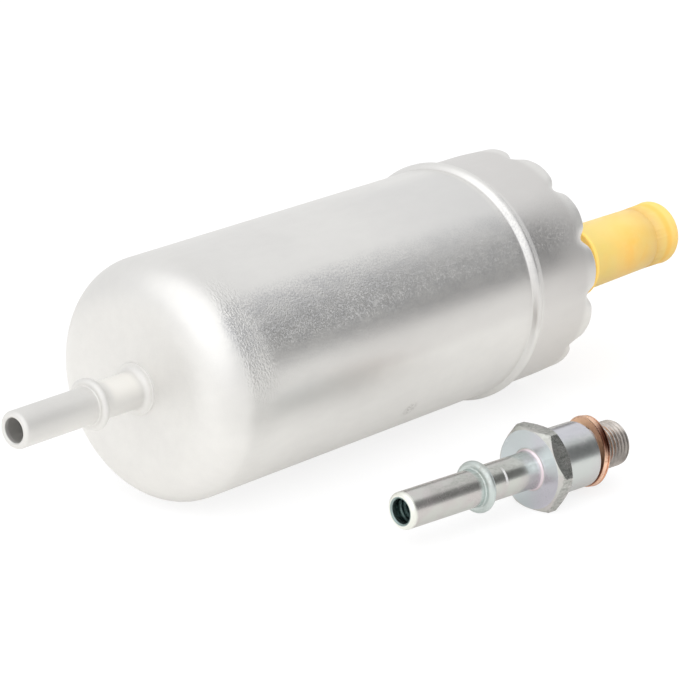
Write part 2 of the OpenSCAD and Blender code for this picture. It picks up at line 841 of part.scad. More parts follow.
// Both brushes lie in line with the pump: turned 0 degrees above its axis, or 180 below
module brush_holder() {
    slot_w = lead_w + 2 * lead_gap;
    color("black") difference() {
        rod(stack_r, holder_x, cover_x);
        rod(bush_d / 2, holder_x - over, cover_x + over);
        for (side = [0, 1]) mirror([0, 0, side]) {
            brush_block(brush_gap, holder_x - over, cover_x + over);
            translate([holder_x + lead_floor, 0, brush_r - slot_w / 2])
                cube([holder_t, lead_y + slot_w / 2, slot_w]);
        }
        ring_of(window_count, window_pcr, 45)
            rod(window_r, holder_x - over, cover_x + over);
    }
}

module brush() {
    brush_block(0, brush_x, brush_x1);
}

module positive_brush() {
    color("dimgray") brush();
}

module negative_brush() {
    color("dimgray") mirror([0, 0, 1]) brush();
}

module brush_spring() {
    translate([0, 0, brush_r])
        tube(brush_spring_d / 2 - brush_wire, brush_spring_d / 2, brush_x1 + brush_seat, pocket_x);
}

module positive_brush_spring() {
    color("silver") brush_spring();
}

module negative_brush_spring() {
    color("silver") mirror([0, 0, 1]) brush_spring();
}

// A braided lead from the brush's side to the stud's head, in three square runs
module brush_lead() {
    half = lead_w / 2;
    x0 = brush_x1 - lead_in - half;
    x1 = recess_x - stud_collar_t;
    for (run = [
        [x0, x0 + lead_w, brush_w / 2, lead_y + half],
        [x0, x1, lead_y - half, lead_y + half],
        [x1 - lead_w, x1, lead_y - half, terminal_y]
    ]) translate([run[0], run[2], brush_r - half])
        cube([run[1] - run[0], run[3] - run[2], lead_w]);
}

module positive_brush_lead() {
    color("orange") brush_lead();
}

module negative_brush_lead() {
    color("orange") mirror([0, 0, 1]) brush_lead();
}

// Where each stud stands: the positive one above the axis and the negative one below
module at_positive() {
    translate([0, terminal_y, terminal_z]) children();
}

module at_negative() {
    translate([0, terminal_y, -terminal_z]) children();
}

module at_outlet() {
    translate([0, -outlet_offset, 0]) children();
}

module end_cover() {
    seal_r0 = inner_r - cover_seal_d;
    groove_x = cover_x + cover_seal_x - cover_seal_w / 2;
    shoulder_r = cover_face_r + cover_step;
    bevel = stack_r - shoulder_r;
    color("dimgray") difference() {
        union() {
            lathe() difference() {
                polygon([
                    [0, cover_x], [stack_r, cover_x], [stack_r, shoulder_x],
                    [shoulder_r, shoulder_x + bevel], [cover_face_r, shoulder_x + bevel],
                    [cover_face_r, cover_face_x], [0, cover_face_x]
                ]);
                band(0, recess_r, cover_x - over, recess_x);
                band(seal_r0, stack_r + over, groove_x, groove_x + cover_seal_w);
            }
            for (side = [-1, 1]) translate([0, 0, side * brush_r])
                rod(post_r, recess_x - post_len, recess_x + over);
        }
        for (side = [-1, 1]) translate([0, 0, side * brush_r])
            rod(post_r - post_wall, recess_x - post_len - over, pocket_x);
        at_outlet() outlet_space();
        at_positive() rod(positive_d / 2 - stud_thread_h, recess_x - over, cover_face_x + over);
        at_negative() rod(negative_d / 2 - stud_thread_h, recess_x - over, cover_face_x + over);
    }
}

module cover_seal() {
    color("black") lathe()
        translate([inner_r - cover_seal_d / 2, cover_x + cover_seal_x]) circle(d = cover_seal_d);
}

// What the moulded-in outlet insert fills of the cover
module outlet_space() {
    lathe() {
        band(0, neck_d / 2, recess_x - over, cover_face_x + over);
        band(0, anchor_d / 2, anchor_x, anchor_x + anchor_t);
    }
}

module outlet_insert() {
    hole_r = port_hole_d / 2;
    color("lightgray") at_outlet() lathe() difference() {
        union() {
            band(0, neck_d / 2, recess_x, boss_x + over);
            band(0, anchor_d / 2, anchor_x, anchor_x + anchor_t);
            band(0, boss_d / 2, boss_x, boss_x1);
        }
        band(0, passage_d / 2, recess_x - over, boss_x1);
        band(0, hole_r, boss_x1 - port_hole_len, boss_x1 + over);
        polygon([
            [0, boss_x1 - port_chamfer], [hole_r, boss_x1 - port_chamfer],
            [hole_r + port_chamfer + over, boss_x1 + over], [0, boss_x1 + over]
        ]);
    }
}

// A moulded-in stud: its head lies in the cover's recess and its collar on the cover's face.
// It is drawn at its thread's middle height inside the nut, and at full height past the nut.
module stud(d, nut_t) {
    free_x = cover_face_x + stud_collar_t + stud_washer_t + nut_t + stud_nut_gap;
    rod(d / 2 - stud_thread_h, recess_x - stud_collar_t, free_x);
    rod(d / 2, free_x, cover_face_x + stud_len);
    rod(stud_head_d / 2, recess_x - stud_collar_t, recess_x);
    rod(stud_head_d / 2, cover_face_x, cover_face_x + stud_collar_t);
}

module nut(d, af, t) {
    x0 = cover_face_x + stud_collar_t + stud_washer_t;
    difference() {
        hex_bar(af, nut_bevel, x0, x0 + t);
        rod(d / 2 - stud_thread_h, x0 - over, x0 + t + over);
    }
}

module stud_washer(d, af) {
    x0 = cover_face_x + stud_collar_t;
    tube(d / 2 + seat_gap, af / 2, x0, x0 + stud_washer_t);
}

module positive_terminal() {
    color("gold") at_positive() stud(positive_d, positive_nut_t);
}

module negative_terminal() {
    color("gold") at_negative() stud(negative_d, negative_nut_t);
}

module positive_nut() {
    color("silver") at_positive() nut(positive_d, positive_nut_af, positive_nut_t);
}

module negative_nut() {
    color("silver") at_negative() nut(negative_d, negative_nut_af, negative_nut_t);
}

module terminal_washers() {
    color("lightgray") {
        at_positive() stud_washer(positive_d, positive_nut_af);
        at_negative() stud_washer(negative_d, negative_nut_af);
    }
}

module transit_cap() {
    x0 = boss_x + 2 * seat_gap;
    x1 = x0 + cap_len;
    mouth_r = boss_d / 2 + cap_gap;
    cap_r = mouth_r + cap_wall;
    end_r = cap_r - cap_taper;
    bead_r = cap_bead_w / 2;
    bead_pcr = end_r + cap_bead_out - bead_r;
    color("khaki") at_outlet() lathe() difference() {
        union() {
            polygon([[0, x0], [cap_r, x0], [end_r, x1 - bead_r], [0, x1 - bead_r]]);
            band(0, cap_r + cap_flange_out, x0, x0 + cap_flange_t);
            band(0, bead_pcr, x1 - cap_bead_w, x1);
            translate([bead_pcr, x1 - bead_r]) circle(r = bead_r);
        }
        band(0, mouth_r, x0 - over, boss_x1 + seat_gap);
        band(0, mouth_r - cap_step, x0 - over, x1 - cap_end_t);
    }
}

// The loose fitting's own frame: its tip is at x = 0 and its axis runs along X
module in_fitting() {
    translate([fitting_x, -fitting_y, floor_z + hex_af / 2]) rotate([0, 0, -fitting_yaw]) children();
}

module fitting_body() {
    thread_r = thread_d / 2;
    color("lightsteelblue") in_fitting() difference() {
        union() {
            lathe() {
                spigot_outline(0, hex_x + over);
                band(0, collar_d / 2, hex_x, thread_x);
                band(0, relief_d / 2, thread_x - over, thread_x1);
                polygon([
                    [0, thread_x + relief_len],
                    [thread_r - thread_chamfer, thread_x + relief_len],
                    [thread_r, thread_x + relief_len + thread_chamfer],
                    [thread_r, thread_x1 - thread_chamfer],
                    [thread_r - thread_chamfer, thread_x1], [0, thread_x1]
                ]);
            }
            hex_bar(hex_af, hex_bevel, hex_x, collar_x);
        }
        rod(bore_r, -over, thread_x1);
        rod(valve_bore / 2, chamber_x, thread_x1 + over);
    }
}

module valve_seat() {
    color("goldenrod") in_fitting()
        tube(valve_hole / 2, valve_bore / 2, valve_seat_x, valve_seat_x + valve_seat_t);
}

module valve_poppet() {
    color("ivory") in_fitting() {
        rod(poppet_d / 2, poppet_x, poppet_x + poppet_t);
        rod(stem_d / 2, poppet_x - stem_len, poppet_x + over);
        rod(nose_d / 2, poppet_x + poppet_t - over, poppet_x + poppet_t + valve_seal_t);
    }
}

module valve_seal() {
    color("black") in_fitting()
        tube(nose_d / 2, poppet_d / 2, poppet_x + poppet_t, poppet_x + poppet_t + valve_seal_t);
}

module valve_spring() {
    r1 = valve_bore / 2 - valve_spring_gap;
    color("gray") in_fitting()
        tube(r1 - valve_wire, r1, chamber_x + brush_seat, poppet_x - brush_seat);
}

// A folded copper crush washer, seamed round its rim, that leans on the thread
module copper_washer() {
    r0 = thread_d / 2 + washer_gap;
    r1 = washer_d / 2;
    half = washer_t / 2;
    lip_r = half / 2;
    seam_half = half * 0.8;
    color("peru") in_fitting() translate([thread_x + washer_out, 0, 0])
        rotate([washer_lean_to, 0, 0]) rotate([0, washer_lean, 0]) lathe() difference() {
            union() {
                band(r0, r1 - lip_r, -half, half);
                for (side = [-1, 1]) translate([r1 - lip_r, side * lip_r]) circle(r = lip_r);
            }
            polygon([[r1 - washer_seam, 0], [r1 + over, -seam_half], [r1 + over, seam_half]]);
        }
}

housing_can();
end_cover();
outlet_insert();
cover_seal();
pump_seal();
intake_plate();
cam_ring();
base_plate();
pump_screws();
relief_ball();
relief_spring();
relief_plug();
pump_rotor();
pump_rollers();
rotor_key();
front_bush();
rear_bush();
armature_shaft();
armature_core();
armature_winding();
commutator_hub();
commutator_bars();
thrust_washers();
flux_ring();
magnet_upper();
magnet_lower();
magnet_clips();
brush_holder();
positive_brush();
negative_brush();
positive_brush_spring();
negative_brush_spring();
positive_brush_lead();
negative_brush_lead();
positive_terminal();
negative_terminal();
positive_nut();
negative_nut();
terminal_washers();
transit_cap();
fitting_body();
valve_seat();
valve_poppet();
valve_seal();
valve_spring();
copper_washer();
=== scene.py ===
import math
from types import SimpleNamespace

import bmesh
import bpy
from mathutils import Matrix, Vector


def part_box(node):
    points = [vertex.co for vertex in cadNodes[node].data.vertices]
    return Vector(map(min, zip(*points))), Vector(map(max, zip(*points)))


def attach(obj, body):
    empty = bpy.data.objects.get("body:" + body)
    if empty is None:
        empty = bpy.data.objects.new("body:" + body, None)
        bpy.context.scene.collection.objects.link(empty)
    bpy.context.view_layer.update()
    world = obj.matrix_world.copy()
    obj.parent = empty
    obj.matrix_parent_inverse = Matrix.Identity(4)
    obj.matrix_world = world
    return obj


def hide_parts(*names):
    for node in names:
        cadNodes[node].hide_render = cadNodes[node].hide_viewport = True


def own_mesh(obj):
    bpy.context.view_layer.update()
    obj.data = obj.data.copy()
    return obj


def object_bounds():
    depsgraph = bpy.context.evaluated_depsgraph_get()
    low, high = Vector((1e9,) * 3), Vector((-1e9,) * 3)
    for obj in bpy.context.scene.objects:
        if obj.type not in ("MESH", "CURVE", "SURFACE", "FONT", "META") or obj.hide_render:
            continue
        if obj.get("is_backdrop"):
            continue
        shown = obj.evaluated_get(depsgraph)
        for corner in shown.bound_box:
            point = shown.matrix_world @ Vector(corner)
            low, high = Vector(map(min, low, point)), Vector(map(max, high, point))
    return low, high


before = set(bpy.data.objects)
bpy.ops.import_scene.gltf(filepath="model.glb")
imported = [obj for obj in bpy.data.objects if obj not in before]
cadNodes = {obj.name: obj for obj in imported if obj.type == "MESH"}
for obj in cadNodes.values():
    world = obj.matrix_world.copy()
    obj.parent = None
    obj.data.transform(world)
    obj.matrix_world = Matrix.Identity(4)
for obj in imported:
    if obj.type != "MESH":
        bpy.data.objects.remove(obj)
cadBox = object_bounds()
mm = 0.001


# Camera, lights, floor

camera = {
    "place": (-541.8, -492.1, 238.2),
    "looking": (0.70868, 0.63256, -0.31247),
    "lens": 190.6,
    "sensor": 36.0,
    "nearest": 0.01,
    "farthest": 20.0,
}
studio = {
    "floorHeight": -27.25,
    "floorSize": 6.0,
    "room": 0.92,
    "darkSide": (0.709, -0.62, 0.34),
    "darkWidth": (0.865, 0.995),
    "darkLevel": 0.19,
    "glowSide": (-0.64, -0.23, 0.733),
    "glowWidth": (0.50, 0.92),
    "glowLevel": 0.46,
    "floorColour": (0.55, 0.548, 0.54),
    "floorSeen": (0.27, 0.27, 0.272),
    "floorWhite": 0.77,
    "floorShine": 0.325,
    "domeShine": 0.14,
    "domeEnd": (0.03, -0.06),
    "domeSide": (-0.06, -0.04),
    "floorGlow": (1.0, 0.985, 0.96),
    "floorRough": 0.9,
}
softBox = {"way": (-0.60, -0.42, 0.68), "far": 1.6, "size": (2.4, 1.8), "power": 11.4}


def addObject(name, data):
    thing = bpy.data.objects.new(name, data)
    bpy.context.scene.collection.objects.link(thing)
    return thing


def aim(thing, place, looking):
    thing.location = Vector(place)
    thing.rotation_mode = "QUATERNION"
    thing.rotation_quaternion = Vector(looking).to_track_quat("-Z", "Y")


def makeCamera():
    data = bpy.data.cameras.new("photoCamera")
    data.lens = camera["lens"]
    data.sensor_width = camera["sensor"]
    data.clip_start = camera["nearest"]
    data.clip_end = camera["farthest"]
    thing = addObject("photoCamera", data)
    aim(thing, Vector(camera["place"]) * mm, camera["looking"])
    bpy.context.scene.camera = thing


# A wire is a node's output that takes part in sums, in shader and geometry trees alike
class Wire:
    def __init__(self, tree, socket):
        self.tree, self.socket = tree, socket

    def math(self, operation, *others):
        values = dict(enumerate((self, *others)))
        return addWire(self.tree, "ShaderNodeMath", values, operation=operation)

    def __add__(self, other):
        return self.math("ADD", other)

    def __sub__(self, other):
        return self.math("SUBTRACT", other)

    def __mul__(self, other):
        return self.math("MULTIPLY", other)

    def __truediv__(self, other):
        return self.math("DIVIDE", other)

    def flipped(self):
        return (self * -1) + 1

    def limited(self):
        return self.math("MAXIMUM", 0).math("MINIMUM", 1)


def plug(tree, value, socket):
    if isinstance(value, Wire):
        tree.links.new(value.socket, socket)
    else:
        socket.default_value = value


def addNode(tree, kind, values=(), **settings):
    node = tree.nodes.new(kind)
    for key, value in settings.items():
        setattr(node, key, value)
    for key, value in dict(values).items():
        plug(tree, value, node.inputs[key])
    return node


def addWire(tree, kind, values=(), output=0, **settings):
    # Adds a node and gives the wire from one of its outputs
    return Wire(tree, addNode(tree, kind, values, **settings).outputs[output])


def smoothRange(wire, low, high, toLow=0.0, toHigh=1.0):
    values = {"Value": wire, "From Min": low, "From Max": high, "To Min": toLow, "To Max": toHigh}
    return addWire(wire.tree, "ShaderNodeMapRange", values, "Result", interpolation_type="SMOOTHSTEP")


def ramp(wire, start, end, toStart=0.0, toEnd=1.0):
    # A soft step between two places in millimetres
    return smoothRange(wire, start * mm, end * mm, toStart, toEnd)


def between(wire, low, high, edge):
    # 1 between two places in millimetres and 0 outside them, with soft edges
    return ramp(wire, low - edge, low + edge) * ramp(wire, high + edge, high - edge)


def axes(vector):
    node = addNode(vector.tree, "ShaderNodeSeparateXYZ", {0: vector})
    return [Wire(vector.tree, socket) for socket in node.outputs]


def distanceFromAxis(y, z):
    return ((y * y) + (z * z)).math("SQRT")


def dotWith(vector, direction):
    values = {0: vector, 1: Vector(direction).normalized()}
    return addWire(vector.tree, "ShaderNodeVectorMath", values, "Value", operation="DOT_PRODUCT")


def mixColour(factor, first, second):
    tree = factor.tree
    node = addNode(tree, "ShaderNodeMix", data_type="RGBA")
    colours = [s for s in node.inputs if s.type == "RGBA"]
    plug(tree, factor, node.inputs["Factor"])
    for socket, value in zip(colours, (first, second)):
        plug(tree, value if isinstance(value, Wire) else (*value, 1), socket)
    return Wire(tree, next(s for s in node.outputs if s.type == "RGBA"))


def newMaterial(name):
    material = bpy.data.materials.new(name)
    material.use_nodes = True
    tree = material.node_tree
    return material, tree, tree.nodes["Principled BSDF"]


def makeWorld():
    world = bpy.data.worlds.new("studio")
    bpy.context.scene.world = world
    world.use_nodes = True
    tree = world.node_tree
    background = tree.nodes["Background"]
    background.inputs["Color"].default_value = (1, 1, 1, 1)
    way = addWire(tree, "ShaderNodeTexCoord", output="Generated")
    dark = smoothRange(dotWith(way, studio["darkSide"]), *studio["darkWidth"])
    glow = smoothRange(dotWith(way, studio["glowSide"]), *studio["glowWidth"]) * studio["glowLevel"]
    level = smoothRange(dark, 0, 1, studio["room"], studio["darkLevel"]) + glow
    seen = addWire(tree, "ShaderNodeLightPath", output="Is Camera Ray")
    plug(tree, seen + (seen.flipped() * level), background.inputs["Strength"])


def makeFloor():
    half = studio["floorSize"] / 2
    mesh = bpy.data.meshes.new("floor")
    corners = [(-half, -half), (half, -half), (half, half), (-half, half)]
    mesh.from_pydata([(x, y, studio["floorHeight"] * mm) for x, y in corners], [], [(0, 1, 2, 3)])
    material, tree, shader = newMaterial("paperFloor")
    shader.inputs["Roughness"].default_value = studio["floorRough"]
    shader.inputs["Specular IOR Level"].default_value = 0.0
    seen, glossy, through = (
        addWire(tree, "ShaderNodeLightPath", output=f"Is {kind} Ray")
        for kind in ("Camera", "Glossy", "Transmission")
    )
    plug(tree, mixColour(seen, studio["floorColour"], studio["floorSeen"]), shader.inputs["Base Color"])
    plug(tree, mixColour(seen, studio["floorGlow"], (1, 1, 1)), shader.inputs["Emission Color"])
    along, across = axes(addWire(tree, "ShaderNodeTexCoord", output="Object"))[:2]
    underDome = smoothRange(along, *studio["domeEnd"]) * smoothRange(across, *studio["domeSide"])
    shine = (underDome * studio["domeShine"]) + studio["floorShine"]
    glow = (seen * studio["floorWhite"]) + ((glossy + through) * shine)
    plug(tree, glow, shader.inputs["Emission Strength"])
    mesh.materials.append(material)
    addObject("floor", mesh)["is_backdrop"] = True


def makeSoftBox():
    data = bpy.data.lights.new("softBox", "AREA")
    data.shape = "RECTANGLE"
    data.energy = softBox["power"]
    data.size, data.size_y = softBox["size"]
    thing = addObject("softBox", data)
    way = Vector(softBox["way"]).normalized()
    aim(thing, way * softBox["far"], -way)
    # Metal reflects the soft glow of the world instead of the lamp's hard outline
    thing.visible_glossy = False


makeCamera()
makeWorld()
makeFloor()
makeSoftBox()
bpy.context.scene.view_settings.view_transform = "Standard"
print("Studio: camera, world, floor and soft box")


# Shapes: outlines are (along, radius) in millimetres, turned about X from +Z towards -Y

def roundOff(corners, steps=5, guard=0.05):
    # A corner with a third number gets a fillet of that radius, with a guard point on each side
    outline = []
    count = len(corners)
    for i, corner in enumerate(corners):
        point = Vector(corner[:2])
        if len(corner) < 3:
            outline.append(tuple(point))
            continue
        toLast = Vector(corners[i - 1][:2]) - point
        toNext = Vector(corners[(i + 1) % count][:2]) - point
        u, v = toLast.normalized(), toNext.normalized()
        half = u.angle(v) / 2
        fillet = corner[2]
        cut = fillet / math.tan(half)
        centre = point + (u + v).normalized() * (fillet / math.sin(half))
        start, end = point + u * cut - centre, point + v * cut - centre
        sweep = start.angle(end)
        side = 1 if start.x * end.y - start.y * end.x > 0 else -1
        outline.append(tuple(point + u * (cut + guard)))
        for k in range(steps + 1):
            turn = side * sweep * k / steps
            c, s = math.cos(turn), math.sin(turn)
            outline.append((centre.x + start.x * c - start.y * s, centre.y + start.x * s + start.y * c))
        outline.append(tuple(point + v * (cut + guard)))
    return outline


def filleted(corners):
    # The rounded corners alone, without the guide points at both ends
    return roundOff(corners)[1:-1]


def arc(x, r, radius, first, last, steps, height=None):
    # Points on an arc: 0 degrees is outwards and 90 towards +X; a second radius makes it an ellipse
    turns = [math.radians(first + (last - first) * k / steps) for k in range(steps + 1)]
    return [(x + radius * math.sin(t), r + (height or radius) * math.cos(t)) for t in turns]


def straight(start, end, steps):
    # Inner points of a straight run, ends left out
    return [tuple(Vector(start).lerp(Vector(end), k / steps)) for k in range(1, steps)]


def turned(name, outline, steps=None, angles=None):
    # A closed outline becomes a shell about X; a place or radius may be a function of the angle
    angles = angles or [2 * math.pi * k / steps for k in range(steps)]
    steps = len(angles)
    points, faces, rings = [], [], []
    for x, r in outline:
        if not callable(r) and r < 1e-6:
            rings.append([len(points)] * steps)
            points.append((x * mm, 0, 0))
            continue
        rings.append(list(range(len(points), len(points) + steps)))
        for a in angles:
            reach = (r(a) if callable(r) else r) * mm
            along = (x(a) if callable(x) else x) * mm
            points.append((along, -reach * math.sin(a), reach * math.cos(a)))
    for i, ring in enumerate(rings):
        after = rings[(i + 1) % len(rings)]
        if i == len(rings) - 1 and ring[0] == ring[-1] and after[0] == after[-1]:
            continue
        for k in range(steps):
            n = (k + 1) % steps
            corners = dict.fromkeys((ring[k], ring[n], after[n], after[k]))
            if len(corners) > 2:
                faces.append(tuple(corners))
    mesh = bpy.data.meshes.new(name)
    mesh.from_pydata(points, [], faces)
    return settle(mesh)


def opened(*meshes):
    shape = bmesh.new()
    for mesh in meshes:
        shape.from_mesh(mesh)
    return shape


def stored(shape, mesh):
    shape.to_mesh(mesh)
    shape.free()
    return mesh


def smoothOut(shape):
    bmesh.ops.recalc_face_normals(shape, faces=shape.faces)
    for face in shape.faces:
        face.smooth = True


def settle(mesh):
    # Welds a fresh mesh, turns its faces outwards and smooths it
    shape = opened(mesh)
    bmesh.ops.remove_doubles(shape, verts=shape.verts, dist=1e-7)
    bmesh.ops.dissolve_degenerate(shape, edges=shape.edges, dist=1e-8)
    smoothOut(shape)
    if shape.calc_volume(signed=True) < 0:
        bmesh.ops.reverse_faces(shape, faces=shape.faces)
    return stored(shape, mesh)


def newPiece(name, mesh, material, body, replaces=(), place=None):
    if place is not None:
        mesh.transform(place)
    mesh.name = name
    piece = addObject(name, mesh)
    if material is not None:
        mesh.materials.clear()
        mesh.materials.append(material)
    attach(piece, body)
    if replaces:
        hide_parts(*replaces)
    return piece


def runTree(mesh, tree, inputs):
    # Runs a geometry tree on a mesh and gives the result as a plain mesh
    holder = addObject("treeHolder", mesh)
    modifier = holder.modifiers.new("tree", "NODES")
    modifier.node_group = tree
    for socket in tree.interface.items_tree:
        if socket.item_type == "SOCKET" and socket.in_out == "INPUT" and socket.name in inputs:
            modifier[socket.identifier] = inputs[socket.name]
    evaluated = holder.evaluated_get(bpy.context.evaluated_depsgraph_get())
    result = bpy.data.meshes.new_from_object(evaluated)
    holder.modifiers.remove(modifier)
    bpy.data.objects.remove(holder)
    for polygon in result.polygons:
        polygon.use_smooth = True
    return result


def newTree(name, numbers, whole=()):
    # A geometry tree with a named input for each size and for the material
    tree = bpy.data.node_groups.new(name, "GeometryNodeTree")
    tree.interface.new_socket("Geometry", in_out="INPUT", socket_type="NodeSocketGeometry")
    for label in (*numbers, *whole):
        kind = "NodeSocketInt" if label in whole else "NodeSocketFloat"
        tree.interface.new_socket(label, in_out="INPUT", socket_type=kind)
    tree.interface.new_socket("Material", in_out="INPUT", socket_type="NodeSocketMaterial")
    tree.interface.new_socket("Geometry", in_out="OUTPUT", socket_type="NodeSocketGeometry")
    given = tree.nodes.new("NodeGroupInput")
    return tree, {socket.name: Wire(tree, socket) for socket in given.outputs if socket.name}


def endTree(tree, geometry, material):
    # Realizes what is instanced, sets the material and gives the tree its output
    real = addWire(tree, "GeometryNodeRealizeInstances", {"Geometry": geometry})
    painted = addWire(tree, "GeometryNodeSetMaterial", {"Geometry": real, "Material": material})
    addNode(tree, "NodeGroupOutput", {"Geometry": painted})
    return tree


def polar(tree):
    # Position as distance along X, radius and angle from +Z towards -Y, with its other two parts
    x, y, z = axes(addWire(tree, "GeometryNodeInputPosition"))
    return x, distanceFromAxis(y, z), (y * -1).math("ARCTAN2", z), y, z


def movedTo(tree, geometry, x, y, z):
    place = addWire(tree, "ShaderNodeCombineXYZ", {0: x, 1: y, 2: z})
    return addWire(tree, "GeometryNodeSetPosition", {"Geometry": geometry, "Position": place})


def setPolar(tree, geometry, y, z, radius, newX, newRadius):
    # Moves each point to a new distance along X and a new radius, at its own angle
    share = newRadius / radius.math("MAXIMUM", 1e-6)
    return movedTo(tree, geometry, newX, y * share, z * share)


def makeCrimpTree():
    tree, given = newTree(
        "crimpRim",
        ("Rim", "Outer Reach", "Inner Reach", "Wall Split", "First", "Dent", "Swell", "Pull", "Width"),
        ("Count",),
    )
    x, radius, angle, y, z = polar(tree)
    step = addWire(tree, "ShaderNodeMath", {0: math.tau, 1: given["Count"]}, operation="DIVIDE")
    phase = (angle - given["First"]).math("WRAP", step * 0.5, step * -0.5)
    inside = radius.math("LESS_THAN", given["Wall Split"])
    reach = (inside * (given["Inner Reach"] - given["Outer Reach"])) + given["Outer Reach"]
    along = ((x - given["Rim"]) / reach + 1).limited()
    soft = along * along
    narrow = (phase / given["Width"]).math("POWER", 2).math("MULTIPLY", -1).math("EXPONENT")
    broad = ((phase * given["Count"]).math("COSINE") * 0.5) + 0.5
    dent = ((narrow * given["Dent"]) + (broad * given["Swell"])) * soft
    pull = (((narrow * 0.7) + (broad * 0.3)) * given["Pull"]) * (soft * along)
    moved = setPolar(tree, given["Geometry"], y, z, radius, x - pull, radius - dent)
    return endTree(tree, moved, given["Material"])


threadSizes = ("Start", "End", "Pitch", "Depth", "Least Radius", "Most Radius", "Fade")


def makeThreadTree():
    tree, given = newTree("cutThread", threadSizes)
    x, radius, angle, y, z = polar(tree)
    turn = (x / given["Pitch"] + (angle / math.tau)).math("FRACT")
    ridge = ((turn - 0.5).math("ABSOLUTE") * 2.6 - 0.25).limited()
    rise = ((x - given["Start"]) / given["Fade"]).limited()
    fall = ((given["End"] - x) / given["Fade"]).limited()
    outside = radius.math("GREATER_THAN", given["Least Radius"])
    inBand = outside * radius.math("LESS_THAN", given["Most Radius"])
    cut = (ridge * rise) * (fall * inBand) * given["Depth"]
    moved = setPolar(tree, given["Geometry"], y, z, radius, x, radius - cut)
    return endTree(tree, moved, given["Material"])


crimpTree = makeCrimpTree()
threadTree = makeThreadTree()


def threaded(mesh, material, *sizes, fade=0.4):
    # Cuts a thread between two places where the surface lies between two radii, in millimetres
    inputs = {label: size * mm for label, size in zip(threadSizes, (*sizes, fade))}
    return runTree(mesh, threadTree, {**inputs, "Material": material})


# Finishes

finishes = {}


def newFinish(name, **sockets):
    finishes[name], tree, shader = newMaterial(name)
    for label, value in sockets.items():
        shader.inputs[label.replace("_", " ")].default_value = value
    return tree, shader, addWire(tree, "ShaderNodeTexCoord", output="Object")


def mapped(spots, location=(0, 0, 0), rotation=(0, 0, 0), scale=(1, 1, 1), kind="POINT"):
    values = {"Vector": spots, "Location": location, "Rotation": rotation, "Scale": scale}
    return addWire(spots.tree, "ShaderNodeMapping", values, vector_type=kind)


def noise(spots, size, detail=2.0, roughness=0.5, distortion=0.0, scale=None, turn=(0, 0, 0), span=None):
    # size is the width of a patch in millimetres, scale stretches it, and span picks out some of the values
    if scale:
        spots = mapped(spots, rotation=turn, scale=scale)
    values = {
        "Vector": spots, "Scale": 1 / (size * mm), "Detail": detail, "Roughness": roughness,
        "Distortion": distortion,
    }
    wire = addWire(spots.tree, "ShaderNodeTexNoise", values, "Fac")
    return smoothRange(wire, *span) if span else wire


def byName(maker, settings):
    # One wire for each named setting
    return SimpleNamespace(**{name: maker(value) for name, value in settings.items()})


def patternsOn(spots, settings):
    return byName(lambda values: noise(spots, **values), settings)


def rampsAlong(wire, settings):
    return byName(lambda ends: ramp(wire, *ends), settings)


def stripsAlong(wire, settings):
    return byName(lambda ends: between(wire, *ends), settings)


def sidesOf(spots, settings, radius):
    # 1 where a round surface looks one way; each setting has the way and the ends of a soft step
    return byName(lambda side: smoothRange(dotWith(spots, side[0]) / radius, *side[1:]), settings)


def nearTo(spots, place, reach):
    # 1 at a place, fading to 0 at a distance of reach millimetres
    values = {0: spots, 1: place}
    distance = addWire(spots.tree, "ShaderNodeVectorMath", values, "Value", operation="DISTANCE")
    return ramp(distance, reach, reach * 0.3)


def tinted(base, look, **masks):
    # Lays a look's named colours over a base in turn, each through its own mask
    for name, mask in masks.items():
        base = mixColour(mask, base, look[name])
    return base


def paint(tree, shader, base, shares, **wires):
    # The colour, and the roughness as a plain level and a named share of each wire
    plug(tree, base, shader.inputs["Base Color"])
    first, *others = [wire * shares[name] for name, wire in wires.items()]
    plug(tree, sum(others, first + shares["plain"]), shader.inputs["Roughness"])


def bumped(shader, height, depth, last=None):
    # depth is the height of the bumps in millimetres
    values = {"Height": height, "Distance": depth * mm, "Strength": 1.0}
    if last is not None:
        values["Normal"] = last
    normal = addWire(height.tree, "ShaderNodeBump", values)
    plug(height.tree, normal, shader.inputs["Normal"])
    return normal


